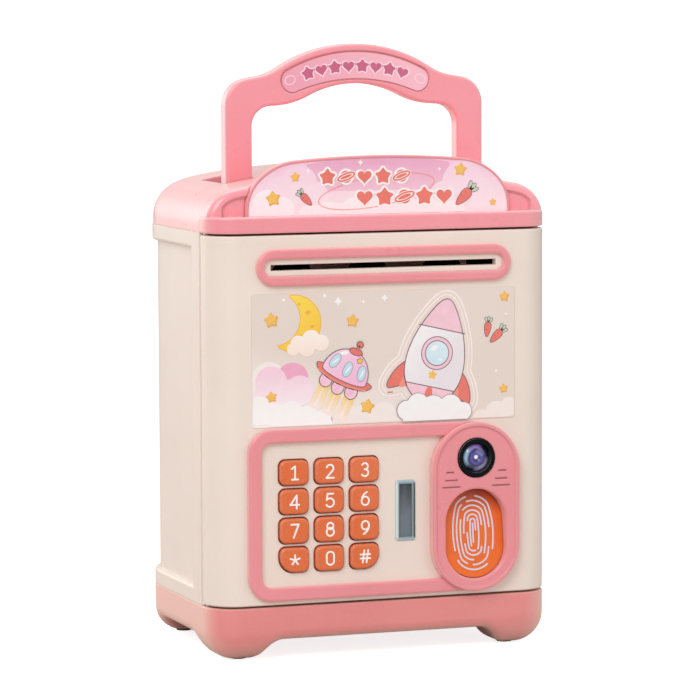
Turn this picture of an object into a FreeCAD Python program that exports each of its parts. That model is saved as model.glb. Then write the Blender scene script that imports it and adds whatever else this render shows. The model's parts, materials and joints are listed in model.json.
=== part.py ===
"""Toy safe coin bank: pink cover, base and handle, cream box with a full-front electronic door.

Frame: millimetres, +Z up, +X to the viewer's right, the door faces -Y.
Origin: centre of the footprint, at the underside of the feet.
"""
import FreeCAD
import Part
import math
import os

from FreeCAD import Vector

# ---------------------------------------------------------------- driving dimensions
WIDTH = 135.0               # across the cream box
DEPTH = 96.0                # front of the door to the back
SEAM_Z = 20.4               # top of the pink base
COVER_Z = 159.2             # underside of the pink top cover
LIP_TOP_Z = 165.2           # top of the cover's front lip
CROWN_Z = 181.3             # highest line of the domed cover
HANDLE_TOP_Z = 228.0        # top of the carrying handle
FRONT_CORNER_R = 12.0       # vertical front corners
REAR_CORNER_R = 26.0        # vertical rear corners
DOOR_DEPTH = 14.0           # front face of the door to its back edge
DOOR_GAP = 0.8              # gap above and below the door
SEAM_GAP = 0.3              # gap behind the door
SKIN = 2.5                  # moulded wall
CENTRING_Y = 2.1            # last move of every piece: puts the middle of the whole depth, pod included, at Y 0
RECESS = 2.0                # depth of the side panels' recess

# ---------------------------------------------------------------- values worked out from them
HALF_W = WIDTH / 2
FRONT_Y = -DEPTH / 2
BACK_Y = DEPTH / 2
DOOR_BACK_Y = FRONT_Y + DOOR_DEPTH
SHELL_FRONT_Y = DOOR_BACK_Y + SEAM_GAP
DOOR_BOTTOM_Z = SEAM_Z + DOOR_GAP
DOOR_TOP_Z = COVER_Z - DOOR_GAP
DOOR_INNER_Y = FRONT_Y + SKIN

# hinge of the door: the door's back left edge is rounded about this line
HINGE_R = 2.0
HINGE_X = -HALF_W + HINGE_R
HINGE_Y = DOOR_BACK_Y - HINGE_R
HINGE_PIN_R = 1.0
RUNNING = 0.06              # radial clearance of a shaft in its bore

# banknote slot and its feeder
SLOT_Z = 146.5
SLOT_HALF_W = 44.5
SLOT_HALF_H = 1.1
BEZEL_HALF_W = 50.2
BEZEL_R = 6.9
BEZEL_PROUD = 2.0
MODULE = 0.6
GEAR_TEETH = 36
PINION_TEETH = 14
FEED_R = 6.0
PINCH_R = 3.5
NIP_GAP = 0.3
FEED_Y = -30.0
FEED_Z = SLOT_Z - NIP_GAP / 2 - FEED_R
PINCH_Z = SLOT_Z + NIP_GAP / 2 + PINCH_R
MOTOR_Z = FEED_Z - MODULE * (GEAR_TEETH + PINION_TEETH) / 2
SHAFT_R = 1.5
CHEEK_X = 45.2              # inner face of the feeder's side cheeks
CHEEK_T = 1.5

# keypad
FRAME_LEFT_X = -54.0
FRAME_BOTTOM_Z = 22.8
FRAME_TOP_Z = 86.9
FRAME_BAND = 5.2
FRAME_PROUD = 2.2
KEY_W = 11.2
KEY_H = 9.3
KEY_X = (-36.1, -22.25, -8.4)
KEY_Z = (70.5, 59.65, 48.8, 37.95)
KEY_PROUD = 1.6
KEY_GAP = 0.4
KEY_NAMES = (("key_1", "key_2", "key_3"), ("key_4", "key_5", "key_6"),
             ("key_7", "key_8", "key_9"), ("key_star", "key_0", "key_hash"))

# sensor pod with the lens, the sound slits and the finger pad
POD_X = 35.35
POD_R = 17.5
POD_BOTTOM_Z = 22.7
POD_TOP_Z = 86.6
POD_PROUD = 4.0
POD_RIM = 0.5
POD_BACK_Y = -42.0
LENS_Z = 73.2
LENS_R = 7.25
FINGER_Z = 44.4
FINGER_R = 12.2
FINGER_HALF_H = 17.0
PAD_R = 11.9
PAD_FACE_Y = (-49.9, -45.6)  # its sloping front: at the lower end, at the upper end

# window of the status lights
WINDOW_X = (4.1, 12.0)
WINDOW_Z = (42.9, 65.7)

# cover, sign and handle
DOME_FRONT_Y = -42.0
DOME_SIDE_R = 13.5
SIGN_FRONT_Y = -43.0
SIGN_T = 3.0
HANDLE_FRONT_Y = -17.4
HANDLE_T = 7.0
HANDLE_EDGE_R = 1.3
LEG_OUTER_X = 51.5
LEG_INNER_X = 41.0
PIVOT_Y = HANDLE_FRONT_Y + HANDLE_T / 2
PIVOT_Z = 168.0
HANDLE_PIN_R = 2.0
LEG_SLOT_BACK_Y = 12.5
COIN_SLOT = (34.0, 6.0)      # mouth: length, width
COIN_SLOT_Y = 2.0           # front edge of the mouth

# latch between the door and the box
LATCH_Y = -28.2
LATCH_Z = 100.0
LATCH_TIP_X = 59.8
LATCH_HEAD = (4.0, 6.0)     # thickness front to back, height
STRIKE_X = 61.0

# moulded cover on the back of the door, with the battery box
TRAY_X = 53.5
TRAY_Z = (24.5, 155.6)
TRAY_BACK_Y = -14.0
TRAY_T = 1.5
TRAY_FLANGE_Y = -37.0
CELL_R = 7.25
CELL_LENGTH = 50.5
CELL_X = (-17.0, -2.0, 13.0)
CELL_BOTTOM_Z = 27.5
CELL_Y = -24.0


# ---------------------------------------------------------------- shape helpers
def box(x0, x1, y0, y1, z0, z1):
    """Box between three pairs of planes."""
    return Part.makeBox(x1 - x0, y1 - y0, z1 - z0, Vector(x0, y0, z0))


def rod(x, y, z, radius, length, axis):
    """Cylinder that starts at a point and runs along an axis."""
    return Part.makeCylinder(radius, length, Vector(x, y, z), Vector(*axis))


def rod_x(x0, x1, y, z, radius):
    return rod(x0, y, z, radius, x1 - x0, (1, 0, 0))


def rod_y(y0, y1, x, z, radius):
    return rod(x, y0, z, radius, y1 - y0, (0, 1, 0))


def rod_z(z0, z1, x, y, radius):
    return rod(x, y, z0, radius, z1 - z0, (0, 0, 1))


def corner_arc(centre, radius, start_deg):
    """Quarter circle in the XY plane, anticlockwise from start_deg."""
    points = []
    for turn in (0.0, 45.0, 90.0):
        angle = math.radians(start_deg + turn)
        points.append(centre + Vector(radius * math.cos(angle), radius * math.sin(angle), 0))
    return Part.Arc(*points).toShape(), points[0], points[2]


def rounded_outline(x0, x1, y0, y1, radii):
    """Closed wire: a rectangle with its own radius at each corner.

    radii: right back, left back, left front, right front.
    """
    r_rb, r_lb, r_lf, r_rf = radii
    corners = ((Vector(x1 - r_rb, y1 - r_rb, 0), r_rb, 0.0), (Vector(x0 + r_lb, y1 - r_lb, 0), r_lb, 90.0),
               (Vector(x0 + r_lf, y0 + r_lf, 0), r_lf, 180.0), (Vector(x1 - r_rf, y0 + r_rf, 0), r_rf, 270.0))
    arcs = []
    for centre, radius, start in corners:
        arcs.append(corner_arc(centre, radius, start))
    edges = []
    for index, (arc, _, end) in enumerate(arcs):
        following = arcs[(index + 1) % 4][1]
        edges.append(arc)
        if end.distanceToPoint(following) > 1e-6:
            edges.append(Part.makeLine(end, following))
    return Part.Wire(edges)


def rounded_block(x0, x1, y0, y1, z0, z1, radii):
    """Rounded rectangle in plan, extruded upwards."""
    face = Part.Face(rounded_outline(x0, x1, y0, y1, radii))
    face.translate(Vector(0, 0, z0))
    return face.extrude(Vector(0, 0, z1 - z0))


def facing_block(x0, x1, z0, z1, y0, y1, radii):
    """Rounded rectangle seen from the front, extruded from y0 back to y1."""
    face = Part.Face(rounded_outline(x0, x1, z0, z1, radii))
    face.rotate(Vector(0, 0, 0), Vector(1, 0, 0), 90)
    face.translate(Vector(0, y1, 0))
    return face.extrude(Vector(0, y0 - y1, 0))


def facing_stadium(x, z, half_w, half_h, y0, y1):
    """Stadium seen from the front: full rounds at the short ends."""
    radius = min(half_w, half_h)
    return facing_block(x - half_w, x + half_w, z - half_h, z + half_h, y0, y1, [radius - 1e-4] * 4)


def body_block(inset, z0, z1, y_front=FRONT_Y):
    """The plan shape of the whole bank, drawn in by an inset."""
    front_r = FRONT_CORNER_R - inset
    rear_r = REAR_CORNER_R - inset
    return rounded_block(-HALF_W + inset, HALF_W - inset, y_front + inset, BACK_Y - inset, z0, z1,
                         [rear_r, rear_r, front_r, front_r])


def fused(shapes):
    """One solid from overlapping solids, with its seams tidied."""
    whole = shapes[0].fuse(shapes[1:])
    return whole.removeSplitter()


def softened(shape, radius, chosen):
    """Round the edges whose bounding box passes a test."""
    edges = []
    for edge in shape.Edges:
        if edge.Length > 0.05 and chosen(edge.BoundBox):
            edges.append(edge)
    return shape.makeFillet(radius, edges)


def lies_at_y(y):
    """Test for edges that lie in the plane of a given Y."""
    return lambda span: abs(span.YMin - y) < 0.01 and abs(span.YMax - y) < 0.01


def lies_at_z(z):
    """Test for edges that lie in the plane of a given Z."""
    return lambda span: abs(span.ZMin - z) < 0.01 and abs(span.ZMax - z) < 0.01


def group(shapes):
    """Several separate solids that share a node."""
    return Part.makeCompound(shapes)


def screw(x, y, z, axis, length, head_r=2.6, shank_r=1.2):
    """Pan-head screw: the head's underside is at the point, the shank runs along the axis."""
    direction = Vector(*axis)
    head = Part.makeCylinder(head_r, 1.6, Vector(x, y, z) - direction * 1.6, direction)
    cross = Part.makeBox(3.2, 0.7, 0.8, Vector(-1.6, -0.35, -1.6))
    cross = cross.fuse(Part.makeBox(0.7, 3.2, 0.8, Vector(-0.35, -1.6, -1.6)))
    cross.Placement = FreeCAD.Placement(Vector(x, y, z), FreeCAD.Rotation(Vector(0, 0, 1), direction))
    shank = Part.makeCylinder(shank_r, length, Vector(x, y, z), direction)
    return head.cut(cross).fuse(shank)


def arc_along(start, heading, end):
    """Arc in the XZ plane that leaves a point along a heading and ends at another point."""
    chord = end - start
    normal = Vector(-heading.z, 0, heading.x)
    radius = chord.Length ** 2 / (2 * chord.dot(normal))
    centre = start + normal * radius
    outward = (start + end) * 0.5 - centre
    middle = centre + outward.normalize() * abs(radius)
    along = Vector(chord).normalize()
    end_heading = along * (2 * heading.dot(along)) - heading
    return Part.Arc(start, middle, end).toShape(), end_heading


def half_arch(apex_z, points, leg_x, foot_z, y):
    """Chain of tangent arcs from an arch's middle out to a vertical side line."""
    edges = []
    here = Vector(0, y, apex_z)
    heading = Vector(1, 0, 0)
    for x, z in points:
        there = Vector(x, y, z)
        arc, heading = arc_along(here, heading, there)
        edges.append(arc)
        here = there
    radius = (leg_x - here.x) / (1 + heading.z)
    leg_top = Vector(leg_x, y, here.z - radius * heading.x)
    arc, _ = arc_along(here, heading, leg_top)
    edges.append(arc)
    leg_low = Vector(leg_x, y, foot_z)
    edges.append(Part.makeLine(leg_top, leg_low))
    return edges


def with_mirror(edges):
    """Edges and their mirror images across the YZ plane."""
    both = list(edges)
    for edge in edges:
        both.append(edge.mirror(Vector(0, 0, 0), Vector(1, 0, 0)))
    return both


# ---------------------------------------------------------------- base
FOOT_ROLL = 11.6            # round that rolls the base's flanks under
FOOT_INSET = 15.5           # outer flank to the inner end of a foot's flat
SKIRT_Z = 7.8               # underside of the skirt between the feet
FOOT_BLEND = 13.0           # length of the sweep from foot to skirt
SKIRT_EDGE_R = 4.0          # round along the lower edge of the skirt and the sweeps
FOOT_Z = 0.4                # the rubber pads stand this far below the feet
PAD_INSET = 14.0
PAD_R_FOOT = 2.9
PAD_HEIGHT = 1.6


def arch_between_feet(half):
    """Opening between two feet seen square on: it sweeps up from each foot to the skirt (XZ plane)."""
    rise = SKIRT_Z - FOOT_Z
    blend_r = (FOOT_BLEND ** 2 + rise ** 2) / (4 * rise)
    inner = half - FOOT_INSET
    root = inner - FOOT_BLEND
    lean = math.asin(FOOT_BLEND / 2 / blend_r)
    sweep_x = blend_r * math.sin(lean / 2)
    sweep_z = blend_r * (1 - math.cos(lean / 2))
    edges = []
    for side in (1, -1):
        toe = Vector(side * inner, 0, FOOT_Z)
        middle = Vector(side * (inner + root) / 2, 0, FOOT_Z + rise / 2)
        low = Vector(side * (inner - sweep_x), 0, FOOT_Z + sweep_z)
        high = Vector(side * (root + sweep_x), 0, SKIRT_Z - sweep_z)
        skirt = Vector(side * root, 0, SKIRT_Z)
        edges.append(Part.Arc(toe, low, middle).toShape())
        edges.append(Part.Arc(middle, high, skirt).toShape())
        edges.append(Part.makeLine(toe, Vector(side * inner, 0, -1)))
    edges.append(Part.makeLine(Vector(root, 0, SKIRT_Z), Vector(-root, 0, SKIRT_Z)))
    edges.append(Part.makeLine(Vector(inner, 0, -1), Vector(-inner, 0, -1)))
    return Part.Face(Part.Wire(Part.__sortEdges__(edges)))


def base_blank():
    """The base before it is hollowed: rolled under all round, arched between its feet, rims rounded."""
    rolled = softened(body_block(0.0, FOOT_Z, SEAM_Z), 0.5, lies_at_z(SEAM_Z))
    rolled = softened(rolled, FOOT_ROLL, lies_at_z(FOOT_Z))
    across = arch_between_feet(HALF_W)
    across.translate(Vector(0, -DEPTH, 0))
    along = arch_between_feet(BACK_Y)
    along.rotate(Vector(0, 0, 0), Vector(0, 0, 1), 90)
    along.translate(Vector(-WIDTH, 0, 0))
    arches = across.extrude(Vector(0, 2 * DEPTH, 0)).fuse(along.extrude(Vector(2 * WIDTH, 0, 0)))
    arched = rolled.cut(arches)
    rims = []
    for edge in arched.Edges:
        middle = Part.Vertex(edge.valueAt((edge.FirstParameter + edge.LastParameter) / 2))
        on_flank = rolled.Shells[0].distToShape(middle)[0] < 0.01
        on_arch = arches.Shells[0].distToShape(middle)[0] < 0.01
        if on_flank and on_arch and edge.BoundBox.ZMax > FOOT_Z + 0.1:
            rims.append(edge)
    return arched.makeFillet(SKIRT_EDGE_R, rims)


SCREW_PLACES = ((-56.0, -6.0), (56.0, -6.0), (-44.0, 36.0), (44.0, 36.0))
POST_R = 3.6
HOUSING_SCREW = 12.0


def base():
    outer = base_blank()
    hollow = body_block(3.0, -1.0, SEAM_Z - 3.0)
    foot_x = HALF_W - FOOT_INSET - FOOT_BLEND + 2.0
    foot_y = BACK_Y - FOOT_INSET - FOOT_BLEND + 2.0
    cross = box(-foot_x, foot_x, -BACK_Y, BACK_Y, -1, SEAM_Z)
    cross = cross.fuse(box(-HALF_W, HALF_W, -foot_y, foot_y, -1, SEAM_Z))
    shell = outer.cut(hollow.common(cross))
    for x, y in SCREW_PLACES:
        if abs(y) < foot_y:
            shell = shell.fuse(rod_z(12.0, SEAM_Z - 1.0, x, y, 4.5))
    for x, y in SCREW_PLACES:
        shell = shell.cut(rod_z(-1.0, SEAM_Z + 1.0, x, y, 1.5))
        shell = shell.cut(rod_z(-1.0, 16.0, x, y, 3.0))
    for x, y in pad_places():
        shell = shell.cut(rod_z(-1.0, PAD_HEIGHT, x, y, PAD_R_FOOT))
    shell = shell.cut(rod_z(SEAM_Z - 3.5, SEAM_Z + 1, HINGE_X, HINGE_Y, HINGE_PIN_R))
    return shell.removeSplitter()


def pad_places():
    places = []
    for sx in (-1, 1):
        for sy in (-1, 1):
            places.append((sx * (HALF_W - PAD_INSET), sy * (BACK_Y - PAD_INSET)))
    return places


def foot_pads():
    pads = []
    for x, y in pad_places():
        pads.append(rod_z(0.0, PAD_HEIGHT, x, y, PAD_R_FOOT))
    return group(pads)


def housing_screws():
    screws = []
    for x, y in SCREW_PLACES:
        screws.append(screw(x, y, 16.0, (0, 0, 1), HOUSING_SCREW))
    for x, y in SCREW_PLACES:
        screws.append(screw(x, y, COVER_Z - 5.0, (0, 0, 1), HOUSING_SCREW))
    return group(screws)


# ---------------------------------------------------------------- rear shell
THICK = SKIN + RECESS
RECESS_Z = (26.5, 153.0)
RECESS_FRONT_Y = -24.0
RECESS_RIM_R = 1.3          # round along the recess's upper and lower rims


def recess_rim(span):
    """Test for the outer edges of the recess's upper and lower ledges."""
    on_ledge = lies_at_z(RECESS_Z[0])(span) or lies_at_z(RECESS_Z[1])(span)
    reach = max(abs(span.XMin), abs(span.XMax), span.YMax + HALF_W - BACK_Y)
    return on_ledge and reach > HALF_W - 0.1 and span.DiagonalLength > RECESS + 1


def post_web(x, y, z0, z1):
    """Rib that ties a screw post to the side wall."""
    reach = HALF_W - THICK + 1
    corner_y = BACK_Y - REAR_CORNER_R
    if y > corner_y:
        corner_x = HALF_W - REAR_CORNER_R
        reach = corner_x + math.sqrt((REAR_CORNER_R - THICK + 1) ** 2 - (y - corner_y) ** 2)
    wall_x = math.copysign(reach, x)
    return box(min(x, wall_x), max(x, wall_x), y - 1.2, y + 1.2, z0, z1)


def rear_shell():
    outer = body_block(0.0, SEAM_Z, COVER_Z)
    outer = outer.common(box(-HALF_W, HALF_W, SHELL_FRONT_Y, BACK_Y, 0, COVER_Z))
    ring = body_block(-1.0, *RECESS_Z).cut(body_block(RECESS, *RECESS_Z))
    ring = ring.common(box(-WIDTH, WIDTH, RECESS_FRONT_Y, DEPTH, 0, COVER_Z))
    outer = softened(outer.cut(ring), RECESS_RIM_R, recess_rim)
    cavity = body_block(THICK, SEAM_Z - 1, COVER_Z + 1)
    for z0, z1 in ((SEAM_Z - 1, RECESS_Z[0] - 2.5), (RECESS_Z[1] + 2.5, COVER_Z + 1)):
        cavity = cavity.fuse(body_block(SKIN, z0, z1))
    front_strip = box(-HALF_W + SKIN, HALF_W - SKIN, FRONT_Y, RECESS_FRONT_Y - 0.2, SEAM_Z - 1, COVER_Z + 1)
    shell = outer.cut(cavity).cut(front_strip)
    for x, y in SCREW_PLACES:
        web = post_web(x, y, SEAM_Z, SEAM_Z + 10)
        shell = shell.fuse(rod_z(SEAM_Z, SEAM_Z + 10, x, y, POST_R)).fuse(web)
        shell = shell.cut(rod_z(SEAM_Z - 1, SEAM_Z + 9, x, y, 1.2))
    for x, y in SCREW_PLACES:
        web = post_web(x, y, COVER_Z - 12, COVER_Z)
        shell = shell.fuse(rod_z(COVER_Z - 12, COVER_Z, x, y, POST_R)).fuse(web)
        shell = shell.cut(rod_z(COVER_Z - 13, COVER_Z + 1, x, y, 1.5))
        shell = shell.cut(rod_z(COVER_Z - 13, COVER_Z - 5, x, y, 2.8))
    return shell.common(outer).removeSplitter()


def strike_plate():
    y0 = LATCH_Y - 5.0
    y1 = LATCH_Y + 3.8
    plate = box(STRIKE_X, HALF_W - SKIN, y0, y1, LATCH_Z - 9, LATCH_Z + 9)
    pocket_y = LATCH_HEAD[0] / 2 + 0.4
    pocket_z = LATCH_HEAD[1] / 2 + 0.5
    return plate.cut(box(0, HALF_W, LATCH_Y - pocket_y, LATCH_Y + pocket_y, LATCH_Z - pocket_z,
                         LATCH_Z + pocket_z))


# ---------------------------------------------------------------- top cover
def crown_prism(drop):
    """Everything below the crowned roof, lowered by a drop: a flat arc across the width."""
    crown = CROWN_Z - drop
    edge_z = crown - WIDTH ** 2 / CROWN_SAG
    rise = crown - WIDTH ** 2 / 4 / CROWN_SAG
    left = Vector(-WIDTH, -DEPTH, edge_z)
    right = Vector(WIDTH, -DEPTH, edge_z)
    roof = Part.BSplineCurve()
    roof.interpolate([left, Vector(-WIDTH / 2, -DEPTH, rise), Vector(0, -DEPTH, crown),
                      Vector(WIDTH / 2, -DEPTH, rise), right])
    floor_z = 100.0
    low_left = Vector(-WIDTH, -DEPTH, floor_z)
    low_right = Vector(WIDTH, -DEPTH, floor_z)
    edges = [roof.toShape(), Part.makeLine(right, low_right), Part.makeLine(low_right, low_left),
             Part.makeLine(low_left, left)]
    return Part.Face(Part.Wire(edges)).extrude(Vector(0, 2 * DEPTH, 0))


DOME_INSET = 0.4            # the dome stands this far inside the lip's edge
DOME_EDGE_R = 3.2           # round along the dome's front edge
COVER_T = 3.0
CROWN_SAG = 540.0           # roof height falls by x squared over this


def dome(inset, front=DOME_FRONT_Y):
    """The dome drawn in by an inset: its sides, rear corners and back roll into the roof."""
    edge = DOME_INSET + inset
    rear_r = REAR_CORNER_R - edge
    block = rounded_block(-HALF_W + edge, HALF_W - edge, -DEPTH, BACK_Y - edge, COVER_Z, CROWN_Z + 5,
                          [rear_r, rear_r, 1.0, 1.0])
    block = block.common(box(-WIDTH, WIDTH, -DEPTH + 5.0, DEPTH, 100, 200)).common(crown_prism(inset))
    rolled = []
    for rim in block.Edges:
        span = rim.BoundBox
        if span.ZMin > LIP_TOP_Z and span.YMax > -DEPTH + 6.0:
            rolled.append(rim)
    block = block.makeFillet(DOME_SIDE_R - inset, rolled)
    block = block.common(box(-WIDTH, WIDTH, front, DEPTH, 100, 200))
    return block.common(body_block(edge, COVER_Z, CROWN_Z + 6))


def arch_groove(outer, inner, depth):
    """A channel in the dome's front face that follows its outline between two insets."""
    front = box(-WIDTH, WIDTH, -DEPTH, DOME_FRONT_Y + depth, LIP_TOP_Z, 200)
    channel = dome(outer).common(front)
    if inner:
        channel = channel.cut(dome(inner))
    return channel


SIGN_TOP_Z = 187.0
SIGN_SHOULDER = ((33.0, 185.5), (47.5, 178.7))
SIGN_HALF_W = 52.2
SIGN_FOOT_Z = LIP_TOP_Z - 1.2
SIGN_RIM = 1.0


def sign_outline(grow, y0, y1):
    """Arched sign: a nearly flat crown that rolls over big shoulders into short upright ends."""
    edges = half_arch(SIGN_TOP_Z, SIGN_SHOULDER, SIGN_HALF_W, SIGN_FOOT_Z, y0)
    edges = with_mirror(edges)
    edges.append(Part.makeLine(Vector(-SIGN_HALF_W, y0, SIGN_FOOT_Z), Vector(SIGN_HALF_W, y0, SIGN_FOOT_Z)))
    face = Part.Face(Part.Wire(Part.__sortEdges__(edges)))
    if grow:
        face = face.makeOffset2D(grow)
    return face.extrude(Vector(0, y1 - y0, 0))


def leg_slots():
    slots = []
    for side in (-1, 1):
        inner = side * (LEG_INNER_X - 0.4)
        outer = side * (LEG_OUTER_X + 0.4)
        slots.append(box(min(inner, outer), max(inner, outer), HANDLE_FRONT_Y - 0.5, LEG_SLOT_BACK_Y,
                         COVER_Z, 190))
    return group(slots)


POCKET_DEPTH = 1.6          # flat field behind the sign
POCKET_RIM = 8.6
# stepped channel round the field: outer inset, inner inset, depth
VALLEY = ((3.5, 6.5, 0.5), (4.1, 5.9, 0.9))


def cover_lip():
    """Band across the front of the cover, over the door."""
    lip = body_block(0.0, COVER_Z, LIP_TOP_Z)
    lip = softened(lip, 0.9, lies_at_z(LIP_TOP_Z))
    lip = softened(lip, 0.5, lies_at_z(COVER_Z))
    return lip.common(box(-WIDTH, WIDTH, -DEPTH, DOOR_BACK_Y, 100, 200))


def top_cover():
    crown = dome(0.0)
    crown = softened(crown, DOME_EDGE_R, lies_at_y(DOME_FRONT_Y))
    shell = cover_lip().fuse(crown)
    for outer, inner, depth in VALLEY:
        shell = shell.cut(arch_groove(outer, inner, depth))
    shell = shell.cut(arch_groove(POCKET_RIM, 0.0, POCKET_DEPTH))
    inside = dome(COVER_T, SHELL_FRONT_Y + COVER_T)
    under = body_block(COVER_T, COVER_Z - 1, LIP_TOP_Z - COVER_T)
    under = under.common(box(-WIDTH, WIDTH, SHELL_FRONT_Y + COVER_T, DEPTH, 100, 200))
    skin = shell.cut(inside).cut(under)
    for x, y in SCREW_PLACES:
        skin = skin.fuse(rod_z(COVER_Z, 177.0, x, y, POST_R).common(shell))
    for side in (-1, 1):
        for x in (LEG_INNER_X - 0.4 - 3.0, LEG_OUTER_X + 0.4):
            x0 = min(side * x, side * (x + 3.0))
            rib = box(x0, x0 + 3.0, PIVOT_Y - 6, PIVOT_Y + 6, PIVOT_Z - 6, 180).common(shell)
            skin = skin.fuse(rib)
    skin = skin.cut(leg_slots())
    for side in (-1, 1):
        outer = side * (LEG_OUTER_X + 3.4)
        inner = side * (LEG_INNER_X - 3.4)
        skin = skin.cut(rod_x(min(inner, outer), max(inner, outer), PIVOT_Y, PIVOT_Z, HANDLE_PIN_R))
    skin = skin.cut(box(-COIN_SLOT[0] / 2, COIN_SLOT[0] / 2, COIN_SLOT_Y, COIN_SLOT_Y + COIN_SLOT[1], 150, 200))
    for x, y in SCREW_PLACES:
        skin = skin.cut(rod_z(COVER_Z - 1, COVER_Z + 9, x, y, 1.2))
    skin = skin.cut(rod_z(COVER_Z - 1, COVER_Z + 3.5, HINGE_X, HINGE_Y, HINGE_PIN_R))
    skin = skin.cut(sign_outline(0.15, SIGN_FRONT_Y, SIGN_FRONT_Y + SIGN_T))
    return skin.removeSplitter()


def coin_slot_liner():
    wide = COIN_SLOT[0] / 2
    y0 = COIN_SLOT_Y
    y1 = y0 + COIN_SLOT[1]
    tube = box(-wide, wide, y0, y1, 174.0, CROWN_Z + 0.6)
    lip = box(-wide - 1.6, wide + 1.6, y0 - 1.6, y1 + 1.6, CROWN_Z, CROWN_Z + 0.6)
    whole = tube.fuse(lip).cut(dome(0.0).cut(box(-wide, wide, y0, y1, 100, 200)))
    return whole.cut(box(-wide + 0.8, wide - 0.8, y0 + 0.8, y1 - 0.8, 100, 200)).removeSplitter()


def sign_plate():
    whole = sign_outline(0.0, SIGN_FRONT_Y, SIGN_FRONT_Y + SIGN_T)
    whole = softened(whole, 0.5, lies_at_y(SIGN_FRONT_Y))
    return whole.cut(sign_outline(-SIGN_RIM, SIGN_FRONT_Y - 1, SIGN_FRONT_Y + 0.8))


def sign_face():
    return sign_outline(-SIGN_RIM, SIGN_FRONT_Y + 0.2, SIGN_FRONT_Y + 0.8)


# ---------------------------------------------------------------- handle
BRIDGE_TOP = ((30.4, 219.2), (39.0, 216.0), (43.5, 215.2))
BRIDGE_UNDER = ((18.5, 208.5), (28.5, 205.3), (33.5, 204.9))
BRIDGE_UNDER_Z = 213.0


def handle_face():
    """Front view of the handle: two legs, stepped shoulders and a raised arch."""
    y = HANDLE_FRONT_Y
    low = PIVOT_Z - HANDLE_T / 2
    edges = half_arch(HANDLE_TOP_Z, BRIDGE_TOP, LEG_OUTER_X, low, y)
    edges += half_arch(BRIDGE_UNDER_Z, BRIDGE_UNDER, LEG_INNER_X, low, y)
    edges.append(Part.makeLine(Vector(LEG_OUTER_X, y, low), Vector(LEG_INNER_X, y, low)))
    return Part.Face(Part.Wire(Part.__sortEdges__(with_mirror(edges))))


def plaque_region(grow, y0, y1):
    """Arc-shaped label area on the handle's bridge."""
    edges = []
    top_mid = Vector(0, y0, 225.4 + grow)
    low_mid = Vector(0, y0, 214.4 - grow)
    tops = []
    lows = []
    for side in (-1, 1):
        tops.append(Vector(side * (28.0 + grow), y0, 218.4 + grow))
        lows.append(Vector(side * (24.5 + grow), y0, 209.6 - grow))
        edges.append(Part.Arc(tops[-1], Vector(side * (29.6 + grow), y0, 212.8), lows[-1]).toShape())
    edges.append(Part.Arc(tops[0], top_mid, tops[1]).toShape())
    edges.append(Part.Arc(lows[0], low_mid, lows[1]).toShape())
    face = Part.Face(Part.Wire(Part.__sortEdges__(edges)))
    return face.extrude(Vector(0, y1 - y0, 0))


def handle():
    bar = handle_face().extrude(Vector(0, HANDLE_T, 0))
    long_edges = []
    for edge in bar.Edges:
        low = edge.BoundBox
        if low.YLength < 0.01 and low.ZLength > 3.0:
            long_edges.append(edge)
    bar = bar.makeFillet(HANDLE_EDGE_R, long_edges)
    bar = bar.cut(rod_x(-HALF_W, HALF_W, PIVOT_Y, PIVOT_Z, HANDLE_PIN_R + RUNNING))
    toes = box(-HALF_W, HALF_W, HANDLE_FRONT_Y - 1, HANDLE_FRONT_Y + HANDLE_T + 1, PIVOT_Z - 8, PIVOT_Z)
    round_toe = rod_x(-HALF_W, HALF_W, PIVOT_Y, PIVOT_Z, HANDLE_T / 2)
    bar = bar.cut(toes.cut(round_toe))
    return bar.cut(plaque_region(0.0, HANDLE_FRONT_Y - 1, HANDLE_FRONT_Y + 0.8)).removeSplitter()


def handle_plaque():
    return plaque_region(-0.6, HANDLE_FRONT_Y + 0.2, HANDLE_FRONT_Y + 0.8)


def handle_pins():
    pins = []
    for side in (-1, 1):
        outer = side * (LEG_OUTER_X + 3.4)
        inner = side * (LEG_INNER_X - 3.4)
        pins.append(rod_x(min(inner, outer), max(inner, outer), PIVOT_Y, PIVOT_Z, HANDLE_PIN_R))
    return group(pins)


# ---------------------------------------------------------------- door
DOOR_SCREWS = ((-57.5, 30.0), (-57.5, 150.0), (57.5, 95.0), (57.5, 150.0))


def key_places():
    places = []
    for names, z in zip(KEY_NAMES, KEY_Z):
        for name, x in zip(names, KEY_X):
            places.append((name, x, z))
    return places


def key_radii(name, radius):
    """Corner radii of a key; the two bottom corner keys have one big round each."""
    big = KEY_H * 0.62
    if name == "key_star":
        return [radius, radius, big, radius]
    if name == "key_hash":
        return [radius, radius, radius, big]
    return [radius] * 4


def door_rim(z):
    """Test for the door's outer edge at one level: front, corners and sides, not the back."""
    return lambda span: lies_at_z(z)(span) and span.YMin < DOOR_BACK_Y - 0.1


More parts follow.
